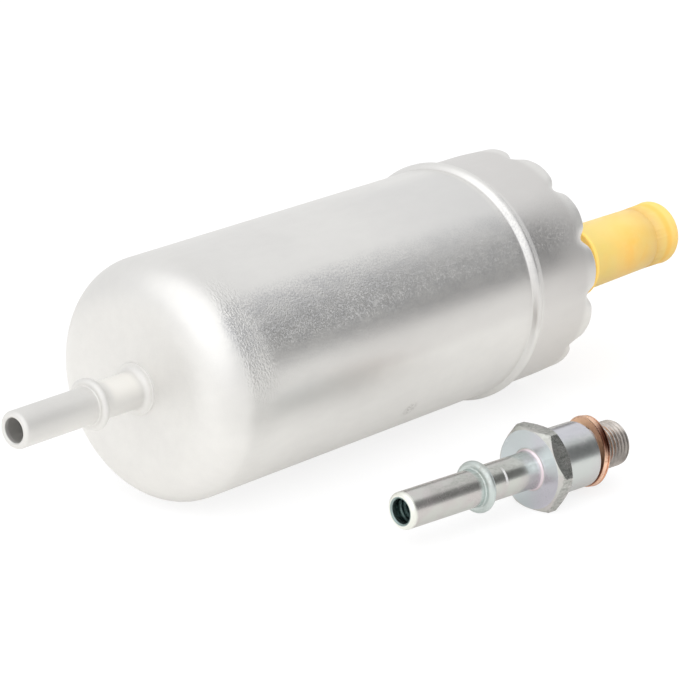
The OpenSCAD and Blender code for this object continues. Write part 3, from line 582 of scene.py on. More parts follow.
# Sizes of the can in millimetres: the spigot's tip is at the start, the crimped rim at the end
can = {
    "tip": -87.0, "spigot": 3.945, "bore": 2.625, "lipDepth": 1.3,
    "latch": -66.0, "latchRadius": 5.5, "latchHalf": 1.0, "rootRound": 1.3,
    "dome": -53.0, "foot": 5.6, "footHeight": 0.5, "corner": 9.0, "cornerWide": 10.4,
    "radius": 26.0, "inner": 24.8, "seat": -43.0, "chamber": 24.0, "chamberRound": 7.0, "domeThick": 2.0,
    "bead": 45.0, "beadHalf": 1.6, "beadRise": 1.25, "beadTip": 0.72, "beadRound": 1.3,
    "rim": 66.3, "steps": 360,
}
canLook = {
    "light": (0.84, 0.833, 0.813),
    "shade": (0.77, 0.762, 0.748),
    # Painted highlight along the top of the spigot's neck
    "neck": (1.0, 0.985, 0.95),
    # Painted shade on the wall's lower side, and a darker warm band behind the bead
    "blush": (0.61, 0.59, 0.58),
    # Grey for painted shade on the upper side, and for the grain in the dark band
    "dusk": (0.58, 0.582, 0.59),
    "blot": (0.30, 0.28, 0.26),
    "patterns": {
        "sand": {"size": 0.36, "detail": 1},
        "streaks": {"size": 0.75, "detail": 3, "roughness": 0.6, "scale": (0.16, 0.8, 0.8)},
        "coarse": {"size": 2.2, "detail": 3, "roughness": 0.6, "scale": (0.45, 1, 1)},
        "clouds": {"size": 22, "detail": 3, "span": (0.3, 0.7)},
        "mottle": {"size": 3.2, "detail": 4, "roughness": 0.7, "scale": (0.6, 1, 1), "span": (0.4, 0.62)},
        "paths": {"size": 9, "distortion": 0.6, "scale": (1, 0.6, 0.6), "turn": (0, 0.5, 0.9)},
        "few": {"size": 4.5, "detail": 1, "span": (0.52, 0.60)},
        "crackle": {
            "size": 0.55, "detail": 1.5, "roughness": 0.6, "scale": (1.2, 0.7, 0.7), "span": (0.3, 0.7),
        },
        "ripples": {"size": 6, "distortion": 0.3, "scale": (1, 0.5, 0.5)},
    },
    "sandSpans": {"specks": (0.36, 0.62), "sparks": (0.50, 0.64), "blots": (0.35, 0.6)},
    "hairWidth": (0.014, 0.004),
    # Soft steps along the can, in millimetres
    "along": {
        "wall": (-54, -51), "crackleStart": (-47.5, -44.2), "crackleEnd": (-36.0, -42.5), "blush": (-25, -5),
        "drawn": (-15, 20), "grey": (-5, 36), "greyEnd": (42.6, 41.4), "brushedEnd": (44.5, 41.5),
        "calm": (44, 50, 1.0, 0.4), "plain": (46, 50, 1.0, 0.3), "rim": (50, 64),
    },
    "strips": {"neck": (-63, -55, 1.5), "behindBead": (47, 63, 1.2)},
    # The ways that the can's zones look, with the ends of a soft step in millimetres from the axis
    "sides": {
        "side": ((0, -0.84, 0.54), 20.5, 25.5), "dusky": ((0, -0.84, 0.54), 24.0, 25.7),
        "darkest": ((0, -0.80, 0.60), 24.8, 25.85), "upper": ((0, -0.42, 0.91), 22.4, 24.8),
        "lower": ((0, -0.99, 0.14), 25.2, 25.9), "neckTop": ((0, -0.45, 0.89), 1.2, 3.8),
    },
    # Place along the can and angle, reach and strength of each mark
    "blots": {"edgeMark": ((8.5, 127), 2.8, 0.4), "beadNick": ((44.2, 18), 0.45, 0.25)},
    "rough": {
        "plain": 0.29, "fine": 0.12, "coarse": 0.05, "spigot": 0.26, "rim": 0.12, "crackle": 0.13,
        "hairs": 0.2, "sparks": 0.32, "brushed": 0.075,
    },
    "bumps": {"grain": 0.085, "ripples": 0.05, "crackle": 0.125},
}


def makeCanFinish():
    look, bumps = canLook, canLook["bumps"]
    tree, shader, spots = newFinish("etchedAluminium", Metallic=1.0)
    x = axes(spots)[0]
    marks = patternsOn(spots, look["patterns"])
    sand = byName(lambda span: smoothRange(marks.sand, *span), look["sandSpans"])
    along = rampsAlong(x, look["along"])
    strips = stripsAlong(x, look["strips"])
    sides = sidesOf(spots, look["sides"], mm)
    # The grain is sandy near the dome and turns to drawn streaks towards the bead
    drawn = along.drawn
    sandy = (drawn * -0.6) + 1
    fine = (marks.sand * ((drawn * -0.7) + 1)) + (marks.streaks * drawn * 0.22)
    # Mottle and specks of grain, painted only in the dark band along the wall's side, where they also deepen
    # it as painted shade
    grainAndShade = (sides.dusky * marks.mottle * 0.3) + (sides.darkest * sand.specks * sandy * 0.6)
    base = mixColour((marks.clouds * 0.4) + (marks.coarse * 0.6), look["light"], look["shade"])
    # Painted shade: the upper side of the wall turns greyer from -5 mm up to the bead
    upperShade = along.grey * along.greyEnd * sides.upper
    # Painted shade: the lower side darkens between -25 and -5 mm
    base = tinted(base, look, dusk=upperShade * 0.28, blush=sides.lower * along.blush * 0.35)
    # The band behind the bead is a plain warm tint; the mottle in the dark band is partly painted shade
    base = tinted(base, look, blush=strips.behindBead * 0.45, dusk=grainAndShade * along.plain)
    for (x0, angle), reach, strength in look["blots"].values():
        turn = math.radians(angle)
        place = Vector((x0, -can["radius"] * math.sin(turn), can["radius"] * math.cos(turn))) * mm
        base = tinted(base, look, blot=nearTo(spots, place, reach) * sand.blots * strength)
    # A painted highlight along the top of the spigot's neck
    base = tinted(base, look, neck=strips.neck * sides.neckTop * 0.8)
    crackled = along.crackleStart * along.crackleEnd
    fewPaths = marks.few * sides.darkest * drawn.flipped()
    hairs = smoothRange((marks.paths - 0.5).math("ABSOLUTE"), *look["hairWidth"]) * fewPaths
    paint(
        tree, shader, base, look["rough"], fine=fine, coarse=marks.coarse, spigot=along.wall.flipped(),
        rim=along.rim, crackle=crackled, hairs=hairs, sparks=sand.sparks * sides.darkest * sandy,
        brushed=((marks.streaks * 0.35) + 0.65) * sides.darkest * drawn * along.brushedEnd,
    )
    grain = (fine * along.wall) * ((sides.darkest * 0.82) + 0.18) * along.calm
    sanded = bumped(shader, grain, bumps["grain"])
    rippled = bumped(shader, marks.ripples * along.wall, bumps["ripples"], sanded)
    bumped(shader, (marks.crackle * crackled) * ((sides.side * 0.9) + 0.1), bumps["crackle"], rippled)


# The fitting's own frame: its tip, and its turn away from X
fittingFrame = {"tip": (-32.8, -53.9, -18.75), "yaw": math.radians(6.2)}
fittingTip = Vector(fittingFrame["tip"]) * mm
fittingPlace = Matrix.Translation(fittingTip) @ Matrix.Rotation(-fittingFrame["yaw"], 4, "Z")


def onFitting(spots):
    # Coordinates in the fitting's own frame, with the distance from its axis
    local = mapped(spots, fittingTip, (0, 0, -fittingFrame["yaw"]), kind="TEXTURE")
    x, y, z = axes(local)
    return local, x, y, z, distanceFromAxis(y, z)


zincLook = {
    "pale": (0.635, 0.65, 0.615),
    "warm": (0.625, 0.595, 0.585),
    "mint": (0.66, 0.735, 0.72),
    "blue": (0.64, 0.70, 0.73),
    "lilac": (0.67, 0.66, 0.74),
    "stain": (0.44, 0.45, 0.42),
    "fleck": (0.93, 0.945, 0.91),
    "bore": (0.33, 0.41, 0.40),
    # Painted highlight on the chamfer at the spigot's mouth
    "lip": (0.93, 0.94, 0.88),
    # Painted highlight on the upper part of the hexagon's front face
    "gleam": (0.84, 0.90, 0.96),
    "flat": (0.36, 0.37, 0.345),
    # Painted highlight round the fillet between the neck and the hexagon
    "ring": (0.92, 0.78, 0.86),
    "scribed": (1.0, 1.0, 1.0),
    "patterns": {
        "clouds": {"size": 6, "detail": 3, "distortion": 0.4, "span": (0.35, 0.65)},
        "patches": {
            "size": 1.6, "detail": 3, "roughness": 0.6, "distortion": 0.5, "scale": (0.4, 1, 1),
            "span": (0.32, 0.6),
        },
        "speckle": {"size": 0.5, "detail": 3, "roughness": 0.7, "span": (0.42, 0.62)},
        "scratches": {
            "size": 0.7, "detail": 3, "roughness": 0.7, "scale": (0.3, 1, 1), "turn": (0.6, 0, 0.5),
            "span": (0.38, 0.58, 1.0, 0.35),
        },
        "flecks": {"size": 0.45, "roughness": 0.6, "scale": (0.7, 1, 1), "span": (0.42, 0.66)},
        "fine": {"size": 0.25, "roughness": 0.6},
        "turning": {"size": 0.22, "scale": (1, 0.02, 0.02)},
    },
    # Places along the fitting and distances from its axis, in millimetres
    "strips": {
        "bead": (18.8, 22.4, 0.5), "face": (35.6, 37.3, 0.3), "ring": (35.1, 36.3, 0.2),
        "flats": (36.9, 40.0, 0.15), "collar": (40.4, 50.6, 0.2),
    },
    "along": {"lip": (1.4, 0.6), "stain": (4, 9), "lilac": (40, 41)},
    "rings": {"face": (4.55, 8.4, 0.1), "ring": (4.0, 4.4, 0.2)},
    "outward": {"bore": (3.15, 2.95), "collar": (7.1, 7.05), "flats": (7.4, 7.9)},
    "faceFade": (2, -5),
    "sides": {
        "gleam": ((0, -0.87, 0.5), 0.80, 0.98), "stain": ((0, -0.62, 0.78), 0.72, 0.97),
        "lilac": ((0, -0.2, 0.98), 0.85, 0.99),
    },
    "scribe": {"x": 26.2, "half": 0.28, "edge": 0.12, "angle": 57, "reach": 2.2},
    "rough": {
        "plain": 0.15, "fine": 0.12, "clouds": 0.05, "flats": 0.03, "mint": 0.12, "scribed": 0.4, "lip": 0.15,
    },
    "bumps": {"turning": 0.004, "fine": 0.009},
}


def makeZincFinish():
    look = zincLook
    tree, shader, spots = newFinish("zincPlate", Metallic=1.0)
    local, x, y, _, radius = onFitting(spots)
    marks = patternsOn(local, look["patterns"])
    strips = stripsAlong(x, look["strips"])
    along = rampsAlong(x, look["along"])
    rings = stripsAlong(radius, look["rings"])
    outward = rampsAlong(radius, look["outward"])
    sides = sidesOf(local, look["sides"], radius)
    onFace = strips.face * rings.face
    flats = strips.flats * outward.flats
    # Darker in patches along the upper side of the spigot, away from its tip and face
    patchedDark = (sides.stain * ((marks.patches * 0.6) + 0.2)) * along.stain * onFace.flipped()
    scribe = look["scribe"]
    turn = math.radians(scribe["angle"])
    heart = Vector((scribe["x"], -can["spigot"] * math.sin(turn), can["spigot"] * math.cos(turn))) * mm
    scribed = between(x, scribe["x"] - scribe["half"], scribe["x"] + scribe["half"], scribe["edge"])
    scribed = scribed * nearTo(local, heart, scribe["reach"])
    base = mixColour(marks.clouds, look["pale"], look["warm"])
    base = tinted(base, look, mint=strips.bead * 0.85)
    faceTint = mixColour(ramp(y, *look["faceFade"]), look["blue"], look["lilac"])
    base = mixColour(onFace * 0.9, base, faceTint)
    # Painted highlights: the bluish gleam on the face's upper side, the pinkish ring on the neck's fillet and
    # the pale lip at the mouth
    base = tinted(
        base, look, gleam=sides.gleam * onFace, stain=patchedDark * ((marks.speckle * 0.4) + 0.75),
        blue=strips.collar * outward.collar * 0.35, lilac=sides.lilac * along.lilac * 0.6,
        flat=flats * marks.scratches, fleck=flats * marks.flecks * 0.28, ring=rings.ring * strips.ring * 0.8,
        scribed=scribed, lip=along.lip, bore=outward.bore,
    )
    paint(
        tree, shader, base, look["rough"], fine=marks.fine, clouds=marks.clouds, flats=flats,
        mint=strips.bead, scribed=scribed, lip=along.lip,
    )
    turningMarks = bumped(shader, marks.turning, look["bumps"]["turning"])
    bumped(shader, marks.fine, look["bumps"]["fine"], turningMarks)


threadLook = {
    "bare": (0.72, 0.67, 0.63),
    "spot": (0.44, 0.41, 0.38),
    # Painted shade down the side of the thread
    "oiled": (0.27, 0.25, 0.235),
    "patterns": {
        "fine": {"size": 0.4, "detail": 3, "roughness": 0.6},
        "clouds": {"size": 2.0, "detail": 3, "roughness": 0.6, "scale": (1, 0.5, 0.5), "span": (0.35, 0.65)},
    },
    "sides": {"oiled": ((0, -0.94, 0.10), 0.60, 0.86)},
    "rough": {"plain": 0.08, "fine": 0.16, "clouds": 0.06},
    "grain": 0.006,
}


def makeThreadFinish():
    # Bare along the top, with painted shade down the side
    look = threadLook
    tree, shader, spots = newFinish("bareThread", Metallic=1.0)
    local, *_, radius = onFitting(spots)
    marks = patternsOn(local, look["patterns"])
    shadeMask = sidesOf(local, look["sides"], radius).oiled
    base = mixColour((marks.clouds * 0.5) + (marks.fine * 0.4), look["bare"], look["spot"])
    base = tinted(base, look, oiled=shadeMask * ((marks.clouds * 0.3) + 0.7))
    paint(tree, shader, base, look["rough"], fine=marks.fine, clouds=marks.clouds)
    bumped(shader, marks.fine, look["grain"])


copperLook = {
    "bright": (0.99, 0.66, 0.48),
    "worn": (0.84, 0.55, 0.42),
    "speckle": (0.42, 0.20, 0.13),
    "face": (1.0, 0.66, 0.45),
    # Painted shade on the lower part of the faces
    "faceBelow": (0.62, 0.24, 0.16),
    # Painted shade on the rim's upper side
    "burnt": (0.10, 0.035, 0.02),
    "patterns": {
        "clouds": {"size": 2.0, "detail": 3, "roughness": 0.6, "distortion": 0.5, "span": (0.35, 0.7)},
        "speckle": {"size": 0.55, "detail": 3, "roughness": 0.7, "span": (0.52, 0.66)},
        "fine": {"size": 0.3, "roughness": 0.6},
    },
    "rim": (6.95, 7.3),
    "below": (1, -3),
    # The middle of the painted shade on the rim, in the object's frame, and its reach
    "burn": {"place": (20.0, -65.6, -14.4), "reach": 5.8},
    "rough": {"plain": 0.13, "fine": 0.14, "clouds": 0.08, "face": 0.22},
    "grain": 0.03,
}


def makeCopperFinish():
    look, burn = copperLook, copperLook["burn"]
    tree, shader, spots = newFinish("softCopper", Metallic=1.0)
    marks = patternsOn(spots, look["patterns"])
    *_, z, radius = onFitting(spots)
    onRim = ramp(radius, *look["rim"])
    face = onRim.flipped()
    # Painted shade: dark red-brown on the lower faces and a near-black spot on the rim's upper side
    base = tinted(
        mixColour(marks.clouds, look["bright"], look["worn"]), look, speckle=marks.speckle * 0.55,
        face=face * 0.75, faceBelow=face * ramp(z, *look["below"]) * 0.75,
        burnt=nearTo(spots, Vector(burn["place"]) * mm, burn["reach"]) * onRim,
    )
    paint(tree, shader, base, look["rough"], fine=marks.fine, clouds=marks.clouds, face=face)
    bumped(shader, (marks.fine * 0.4) + marks.clouds, look["grain"])


capLook = {
    "body": (0.90, 0.57, 0.145),
    "pale": (0.89, 0.615, 0.20),
    "orange": (0.98, 0.52, 0.09),
    "dull": (0.80, 0.62, 0.20),
    # Painted glow: emission that stands in for light through the plastic, stronger on the shaded flange face
    "glow": (1.0, 0.60, 0.10, 1.0),
    "glowLevel": 0.12,
    "flangeGlow": 0.22,
    "patterns": {
        "clouds": {"size": 9, "span": (0.3, 0.7)},
        "blotches": {"size": 3.5, "span": (0.35, 0.65)},
        "fine": {"size": 0.5, "roughness": 0.6},
    },
    "along": {"flange": (75.9, 75.6), "dull": (76.0, 76.6), "dullEnd": (89, 77)},
    # Painted shade: an orange line in the groove before the end bead
    "line": (102.7, 104.5, 0.6),
    "patch": {"place": (91, -16.5, 0), "reach": 8},
    "grain": 0.01,
    "shader": {
        "Roughness": 0.42, "Subsurface_Weight": 0.3, "Subsurface_Radius": (1.0, 0.55, 0.18),
        "Subsurface_Scale": 0.0025,
    },
}


def makeCapFinish():
    look, patch = capLook, capLook["patch"]
    tree, shader, spots = newFinish("softYellow", Emission_Color=look["glow"], **look["shader"])
    x = axes(spots)[0]
    marks = patternsOn(spots, look["patterns"])
    along = rampsAlong(x, look["along"])
    orange = nearTo(spots, Vector(patch["place"]) * mm, patch["reach"]) * ((marks.blotches * 0.8) + 0.2)
    # The orange patch is the plastic's own colour; the orange line before the end bead is painted shade
    base = tinted(
        mixColour(marks.clouds, look["body"], look["pale"]), look,
        dull=along.dull * along.dullEnd * ((marks.clouds * 0.4) + 0.6),
        orange=(orange * 0.7).math("MAXIMUM", between(x, *look["line"]) * 0.8),
    )
    plug(tree, base, shader.inputs["Base Color"])
    # Painted glow, stronger on the flange face
    plug(tree, (along.flange * look["flangeGlow"]) + look["glowLevel"], shader.inputs["Emission Strength"])
    bumped(shader, marks.fine, look["grain"])


def makePlainFinish(name, colour, shade, rough, metallic, grain, depth, stretch=None):
    tree, shader, spots = newFinish(name, Metallic=metallic)
    clouds = noise(spots, grain * 8, 3, scale=stretch, span=(0.35, 0.65))
    fine = noise(spots, grain, 3, 0.6, scale=stretch)
    base = mixColour((clouds * 0.6) + (fine * 0.4), colour, shade)
    paint(tree, shader, base, {"plain": rough - 0.08, "fine": 0.16}, fine=fine)
    bumped(shader, fine, depth)


# Each plain finish: colour, its shade, roughness, metal, size of the grain and its depth, stretch
plainLooks = {
    "mouldedBlack": ((0.035, 0.035, 0.037), (0.022, 0.022, 0.024), 0.5, 0.0, 0.5, 0.012),
    "machinedSteel": ((0.60, 0.60, 0.60), (0.50, 0.50, 0.50), 0.28, 1.0, 0.4, 0.004, (1, 0.05, 0.05)),
    "rolledSteel": ((0.36, 0.37, 0.38), (0.28, 0.28, 0.29), 0.42, 1.0, 1.2, 0.01),
    "castPlate": ((0.72, 0.72, 0.71), (0.62, 0.62, 0.62), 0.45, 1.0, 0.6, 0.02),
    "sinteredBronze": ((0.62, 0.42, 0.22), (0.46, 0.30, 0.15), 0.5, 1.0, 0.35, 0.02),
    "turnedBrass": ((0.83, 0.68, 0.36), (0.72, 0.57, 0.28), 0.25, 1.0, 0.4, 0.005),
    "barCopper": ((0.86, 0.52, 0.34), (0.70, 0.38, 0.22), 0.3, 1.0, 0.4, 0.005),
    "enamelWire": ((0.45, 0.17, 0.06), (0.30, 0.10, 0.03), 0.3, 0.6, 0.5, 0.1, (6, 1, 1)),
    "ferrite": ((0.07, 0.07, 0.075), (0.05, 0.05, 0.05), 0.55, 0.0, 0.4, 0.02),
    "brownResin": ((0.22, 0.10, 0.04), (0.15, 0.07, 0.03), 0.45, 0.0, 0.6, 0.008),
    "pressedCarbon": ((0.05, 0.05, 0.052), (0.03, 0.03, 0.03), 0.4, 0.1, 0.3, 0.01),
    "ivoryResin": ((0.82, 0.80, 0.72), (0.76, 0.73, 0.64), 0.4, 0.0, 0.6, 0.006),
    "sealRubber": ((0.022, 0.022, 0.022), (0.015, 0.015, 0.015), 0.6, 0.0, 0.4, 0.008),
}
makeCanFinish()
makeZincFinish()
makeThreadFinish()
makeCopperFinish()
makeCapFinish()
for name, look in plainLooks.items():
    makePlainFinish(name, *look)
print("Finishes:", len(finishes))


# The can: inlet spigot, dome, wall, swaged bead and crimped rim in one sheet

crimpSizes = {
    "Rim": can["rim"], "Outer Reach": 6.5, "Inner Reach": 4.2, "Wall Split": 25.3, "Dent": 1.35,
    "Swell": 0.65, "Pull": 1.3,
}
crimpTurns = {"Count": 12, "First": math.radians(6.0), "Width": math.radians(3.6)}


def spigotOutline(tip, latch, root):
    # Outside of a quick-connect spigot, from inside its mouth to the root
    r, bore, half = can["spigot"], can["bore"], can["latchHalf"]
    lip = tip + can["lipDepth"]
    flank = can["latchRadius"] - half
    near, far = latch - half, latch + half
    outline = filleted([
        (lip + 0.3, bore + 0.5), (lip, bore + 0.4, 0.1), (lip, bore, 0.08), (tip + 0.25, bore, 0.08),
        (tip, bore + 0.25, 0.08), (tip, r, 0.85), (near - 0.8, r),
    ])
    outline += straight((tip + 1.0, r), (near - 0.8, r), 6)
    outline += roundOff([(near - 0.8, r), (near + 0.12, r, 0.3), (near + 0.12, flank + 0.3)])[:-1]
    outline += arc(latch, flank, half, -80, 80, 14)
    outline += roundOff([(far - 0.12, flank + 0.3), (far - 0.12, r, 0.3), (far + 0.8, r)])[1:]
    return outline + straight((far + 0.8, r), root, 6)


def canOutline():
    c = can
    radius, inner, bead, rim, dome = c["radius"], c["inner"], c["bead"], c["rim"], c["dome"]
    wide, corner, foot = c["cornerWide"], c["corner"], dome - c["footHeight"]
    spigot, curve = c["spigot"], c["rootRound"]
    outline = spigotOutline(c["tip"], c["latch"], (foot - curve, spigot))
    outline += arc(foot - curve, spigot + curve, curve, 180, 90, 8)
    outline += filleted([
        (foot, spigot + 1.25), (foot, c["foot"], 0.22), (dome, c["foot"], 0.08), (dome, 8.0),
    ])
    outline += straight((dome, 6.0), (dome, radius - wide), 6)
    outline += arc(dome + corner, radius - wide, corner, -90, 0, 36, wide)
    near, far = bead - c["beadHalf"], bead + c["beadHalf"]
    outline += straight((dome + corner, radius), (near - 0.8, radius), 24)
    outline += roundOff([
        (near - 0.8, radius), (near, radius, 0.5),
        (bead, radius + c["beadRise"] + c["beadTip"], c["beadRound"]),
        (far, radius - 0.22, 0.25), (far + 1.0, radius, 0.6), (far + 1.6, radius),
    ], guard=0.03)
    # Close rows where the rim is crimped
    dense = rim - crimpSizes["Outer Reach"] - 0.5
    outline += straight((far + 1.6, radius), (dense, radius), 5)
    outline += straight((dense, radius), (rim - 0.6, radius), 22)
    outline += filleted([(rim - 0.6, radius), (rim, radius, 0.5), (rim, inner, 0.35), (rim - 0.6, inner)])
    outline += straight((rim - 0.6, inner), (rim - 5.0, inner), 12)
    outline += [(bead + 0.9, inner), (bead - 1.9, inner), (c["seat"], inner), (c["seat"], c["chamber"])]
    # The dome's inside, and down to the spigot's bore
    inside, bend, bore = dome + c["domeThick"], c["chamberRound"], c["bore"]
    outline += arc(inside + bend, c["chamber"] - bend, bend, 0, -90, 8)[1:]
    return outline + [(inside, bore + 0.3), (inside - 0.3, bore), (c["tip"] + c["lipDepth"] + 3, bore + 0.1)]


canMesh = turned("can", canOutline(), can["steps"])
crimpInputs = {label: value * mm for label, value in crimpSizes.items()}
crimpInputs.update(crimpTurns, Material=finishes["etchedAluminium"])
canMesh = runTree(canMesh, crimpTree, crimpInputs)
newPiece("crimpedCan", canMesh, None, "pump", ["housing_can"])
print("Can:", len(canMesh.polygons), "faces")


# The outlet: threaded steel insert and the soft cap over it

outlet = {
    "side": -10.8, "inner": 57.0, "anchor": 60.0, "anchorEnd": 63.0, "boss": 74.8, "bossEnd": 84.8,
    "passage": 3.2, "neck": 6.0, "anchorRadius": 7.5, "bossRadius": 6.7, "hole": 4.5, "holeDepth": 12.2,
    "pitch": 1.0, "threadDepth": 0.45, "steps": 120,
}
cap = {
    "start": 75.0, "length": 32.6, "mouth": 6.75, "radius": 7.5, "endRadius": 7.1, "flange": 8.45,
    "flangeThick": 1.0, "bead": 7.4, "beadHalf": 1.2, "end": 1.2, "hollow": 6.35, "steps": 160,
}
outletPlace = Matrix.Translation((0, outlet["side"] * mm, 0))


def insertMesh():
    o = outlet
    inner, anchor, anchorEnd, boss, bossEnd = o["inner"], o["anchor"], o["anchorEnd"], o["boss"], o["bossEnd"]
    hole, neck, anchorRadius, bossRadius = o["hole"], o["neck"], o["anchorRadius"], o["bossRadius"]
    start = bossEnd - o["holeDepth"]
    outline = roundOff([
        (inner, o["passage"], 0.2), (inner, neck, 0.2), (anchor, neck, 0.1), (anchor, anchorRadius, 0.2),
        (anchorEnd, anchorRadius, 0.2), (anchorEnd, neck, 0.1), (boss, neck, 0.3), (boss, bossRadius, 0.3),
        (bossEnd, bossRadius, 0.4), (bossEnd, hole + 0.5, 0.1), (bossEnd - 0.5, hole, 0.1),
    ])
    outline += straight((bossEnd - 0.7, hole), (start + 0.5, hole), int((o["holeDepth"] - 1.2) * 10))
    outline += filleted([
        (start + 0.5, hole), (start, hole, 0.1), (start, o["passage"], 0.1), (inner + 1, o["passage"]),
    ])
    # The thread is cut outwards from the hole, so its depth is negative
    return threaded(
        turned("outletInsert", outline, o["steps"]), finishes["zincPlate"], start + 1.5, bossEnd - 0.3,
        o["pitch"], -o["threadDepth"], hole - 0.4, hole + 0.3,
    )


def capMesh():
    c = cap
    mouth, inner, flange, lip = c["mouth"], c["hollow"], c["flange"], c["start"] + c["flangeThick"]
    end = c["start"] + c["length"]
    middle = end - c["beadHalf"]
    outline = roundOff([
        (c["start"], mouth, 0.2), (c["start"], flange, 0.4), (lip, flange, 0.4), (lip, c["radius"], 0.4),
        (middle - 2.6, c["endRadius"], 1.5), (middle - 0.9, c["bead"] - 0.12, 0.6),
    ])
    outline += arc(middle, c["bead"] - c["beadHalf"], c["beadHalf"], -25, 90, 14)
    # The end dips slightly towards its middle
    outline += [(end, 4.0), (end - 0.04, 2.0), (end - 0.05, 0)]
    floor, step = end - c["end"], outlet["bossEnd"] + 0.1
    outline += [(floor, 0), (floor, 3.0)]
    outline += filleted([
        (floor, 3.0), (floor, inner, 0.6), (step, inner, 0.1), (step, mouth, 0.1), (c["start"] + 1, mouth),
    ])
    return turned("transitCap", outline, c["steps"])


newPiece("outletInsert", insertMesh(), None, "pump", ["outlet_insert"], outletPlace)
newPiece("transitCap", capMesh(), finishes["softYellow"], "cap", ["transit_cap"], outletPlace)
print("Outlet and cap made")


# The loose fitting: spigot, hexagon, collar and thread in one turned bar

fitting = {
    "latch": 21.0, "hex": 36.2, "hexEnd": 40.3, "acrossFlats": 17.0, "collar": 7.0, "collarEnd": 50.5,
    "relief": 4.3, "reliefEnd": 51.9, "thread": 4.95, "threadEnd": 61.3, "pitch": 1.0, "threadDepth": 0.55,
    "chamber": 3.4, "chamberStart": 40.3, "boreStart": 12.0, "mouthSteps": (6.4, 5.2, 4.0, 2.8),
    "cornerSharpness": 90, "bevel": 0.85, "root": 0.8, "face": 8.4, "perSide": 28,
}


def hexRadius(acrossFlats, angle, sharpness):
    # Distance to the hexagon's side at an angle, with its corners slightly rounded; a flat faces down
    near = [math.cos(angle - math.radians(60 * k)) for k in range(6)]
    return acrossFlats / 2 / sum(c ** sharpness for c in near if c > 0) ** (1 / sharpness)


def hexRings(acrossFlats, face, start, end, sharpness, slope, guard=0.05):
    # Rings of a hexagonal bar between two faces: its bevel meets each flat in an arc
    def side(a):
        return hexRadius(acrossFlats, a, sharpness)

    def edge(x0, way, past, inward=0.0):
        return lambda a: x0 + way * ((side(a) - face) * slope + past), lambda a: side(a) - inward

    def bevelled(x0, way):
        return [
            (x0, face - guard), (x0, face), (x0 + way * guard * slope, face + guard),
            edge(x0, way, -guard * slope, guard), edge(x0, way, 0.0), edge(x0, way, guard),
        ]

    return bevelled(start, 1) + [((start + end) / 2, side)] + bevelled(end, -1)[::-1]


def hexAngles(perSide, near=(0.35, 0.9, 1.8)):
    # Angles for a hexagon: even along each flat and closer together at its corners
    turns = set()
    for k in range(6):
        corner = 30 + 60 * k
        turns.update(round((corner + 60 * j / perSide) % 360, 4) for j in range(perSide))
        turns.update(round((corner + sign * d) % 360, 4) for d in near for sign in (1, -1))
    return [math.radians(t) for t in sorted(turns)]


def fittingMesh():
    f = fitting
    bore, neck, face, collar = can["bore"], can["spigot"], f["face"], f["collar"]
    hexStart, hexEnd, collarEnd, reliefEnd = f["hex"], f["hexEnd"], f["collarEnd"], f["reliefEnd"]
    thread, end, chamber, chamberStart = f["thread"], f["threadEnd"], f["chamber"], f["chamberStart"]
    outline = spigotOutline(0.0, f["latch"], (hexStart - f["root"] - 0.4, neck))
    outline += arc(hexStart - f["root"], neck + f["root"], f["root"], 180, 90, 8)
    outline += hexRings(f["acrossFlats"], face, hexStart, hexEnd, f["cornerSharpness"], f["bevel"])
    outline += filleted([
        (hexEnd, face - 0.1), (hexEnd, collar, 0.2), (collarEnd, collar, 0.35),
        (collarEnd, f["relief"], 0.15), (reliefEnd, f["relief"], 0.15), (reliefEnd + 0.5, thread, 0.1),
        (reliefEnd + 1.0, thread),
    ])
    steps = int((end - reliefEnd - 1.3) * 14)
    outline += straight((reliefEnd + 0.8, thread), (end - 0.5, thread), steps)
    outline += filleted([
        (end - 0.5, thread), (end - 0.4, thread, 0.1), (end, thread - 0.4, 0.1), (end, chamber, 0.1),
        (chamberStart, chamber, 0.2), (chamberStart, bore, 0.1), (f["boreStart"], bore),
    ])
    # Turned steps inside the mouth, from the inside out
    for x0 in f["mouthSteps"]:
        outline += [(x0 - d, bore + rise) for d, rise in ((0, 0.1), (0.15, 0.35), (0.75, 0.35), (0.9, 0.1))]
    return threaded(
        turned("fitting", outline, angles=hexAngles(f["perSide"])), finishes["zincPlate"],
        reliefEnd - 0.2, end - 0.1, f["pitch"], f["threadDepth"], thread - f["threadDepth"], thread + 0.55,
    )


fittingPiece = newPiece(
    "outletFitting", fittingMesh(), None, "outlet_fitting", ["fitting_body"], fittingPlace,
)
fittingPiece.data.materials.append(finishes["bareThread"])
for polygon in fittingPiece.data.polygons:
    local = fittingPlace.inverted() @ polygon.center
    outside = math.hypot(local.y, local.z) > (fitting["chamber"] + 0.2) * mm
    polygon.material_index = int(local.x > (fitting["collarEnd"] + 0.3) * mm and outside)
print("Fitting:", len(fittingPiece.data.polygons), "faces")


# The copper washer: a folded ring with a seam round its rim, leaning on the thread

washer = {
    "out": 52.95, "bore": 5.35, "radius": 7.5, "half": 0.75, "lean": math.radians(11),
    "leanTo": math.radians(302), "seam": 0.3, "seamDepth": 0.45, "seamGap": 0.16, "steps": 160,
}


def washerMesh():
    # The folded ring's lips meet in a fine seam on its flat rim, towards the thread's end
    w = washer
    half, r, bore = w["half"], w["radius"], w["bore"]
    seam, depth, gap = w["seam"], w["seamDepth"], w["seamGap"]
    outline = roundOff([
        (0, bore), (-half, bore, 0.3), (-half, r, 0.22), (seam - gap, r, 0.12), (seam, r - depth, 0.03),
        (seam + gap, r, 0.12), (half, r, 0.22), (half, bore, 0.3),
    ], guard=0.02)
    mesh = turned("copperWasher", outline, w["steps"])
    for vertex in mesh.vertices:
        a = math.atan2(vertex.co.y, vertex.co.z)
        vertex.co.x += (0.05 * math.sin(2 * a + 0.6) + 0.03 * math.sin(5 * a)) * mm
    return mesh


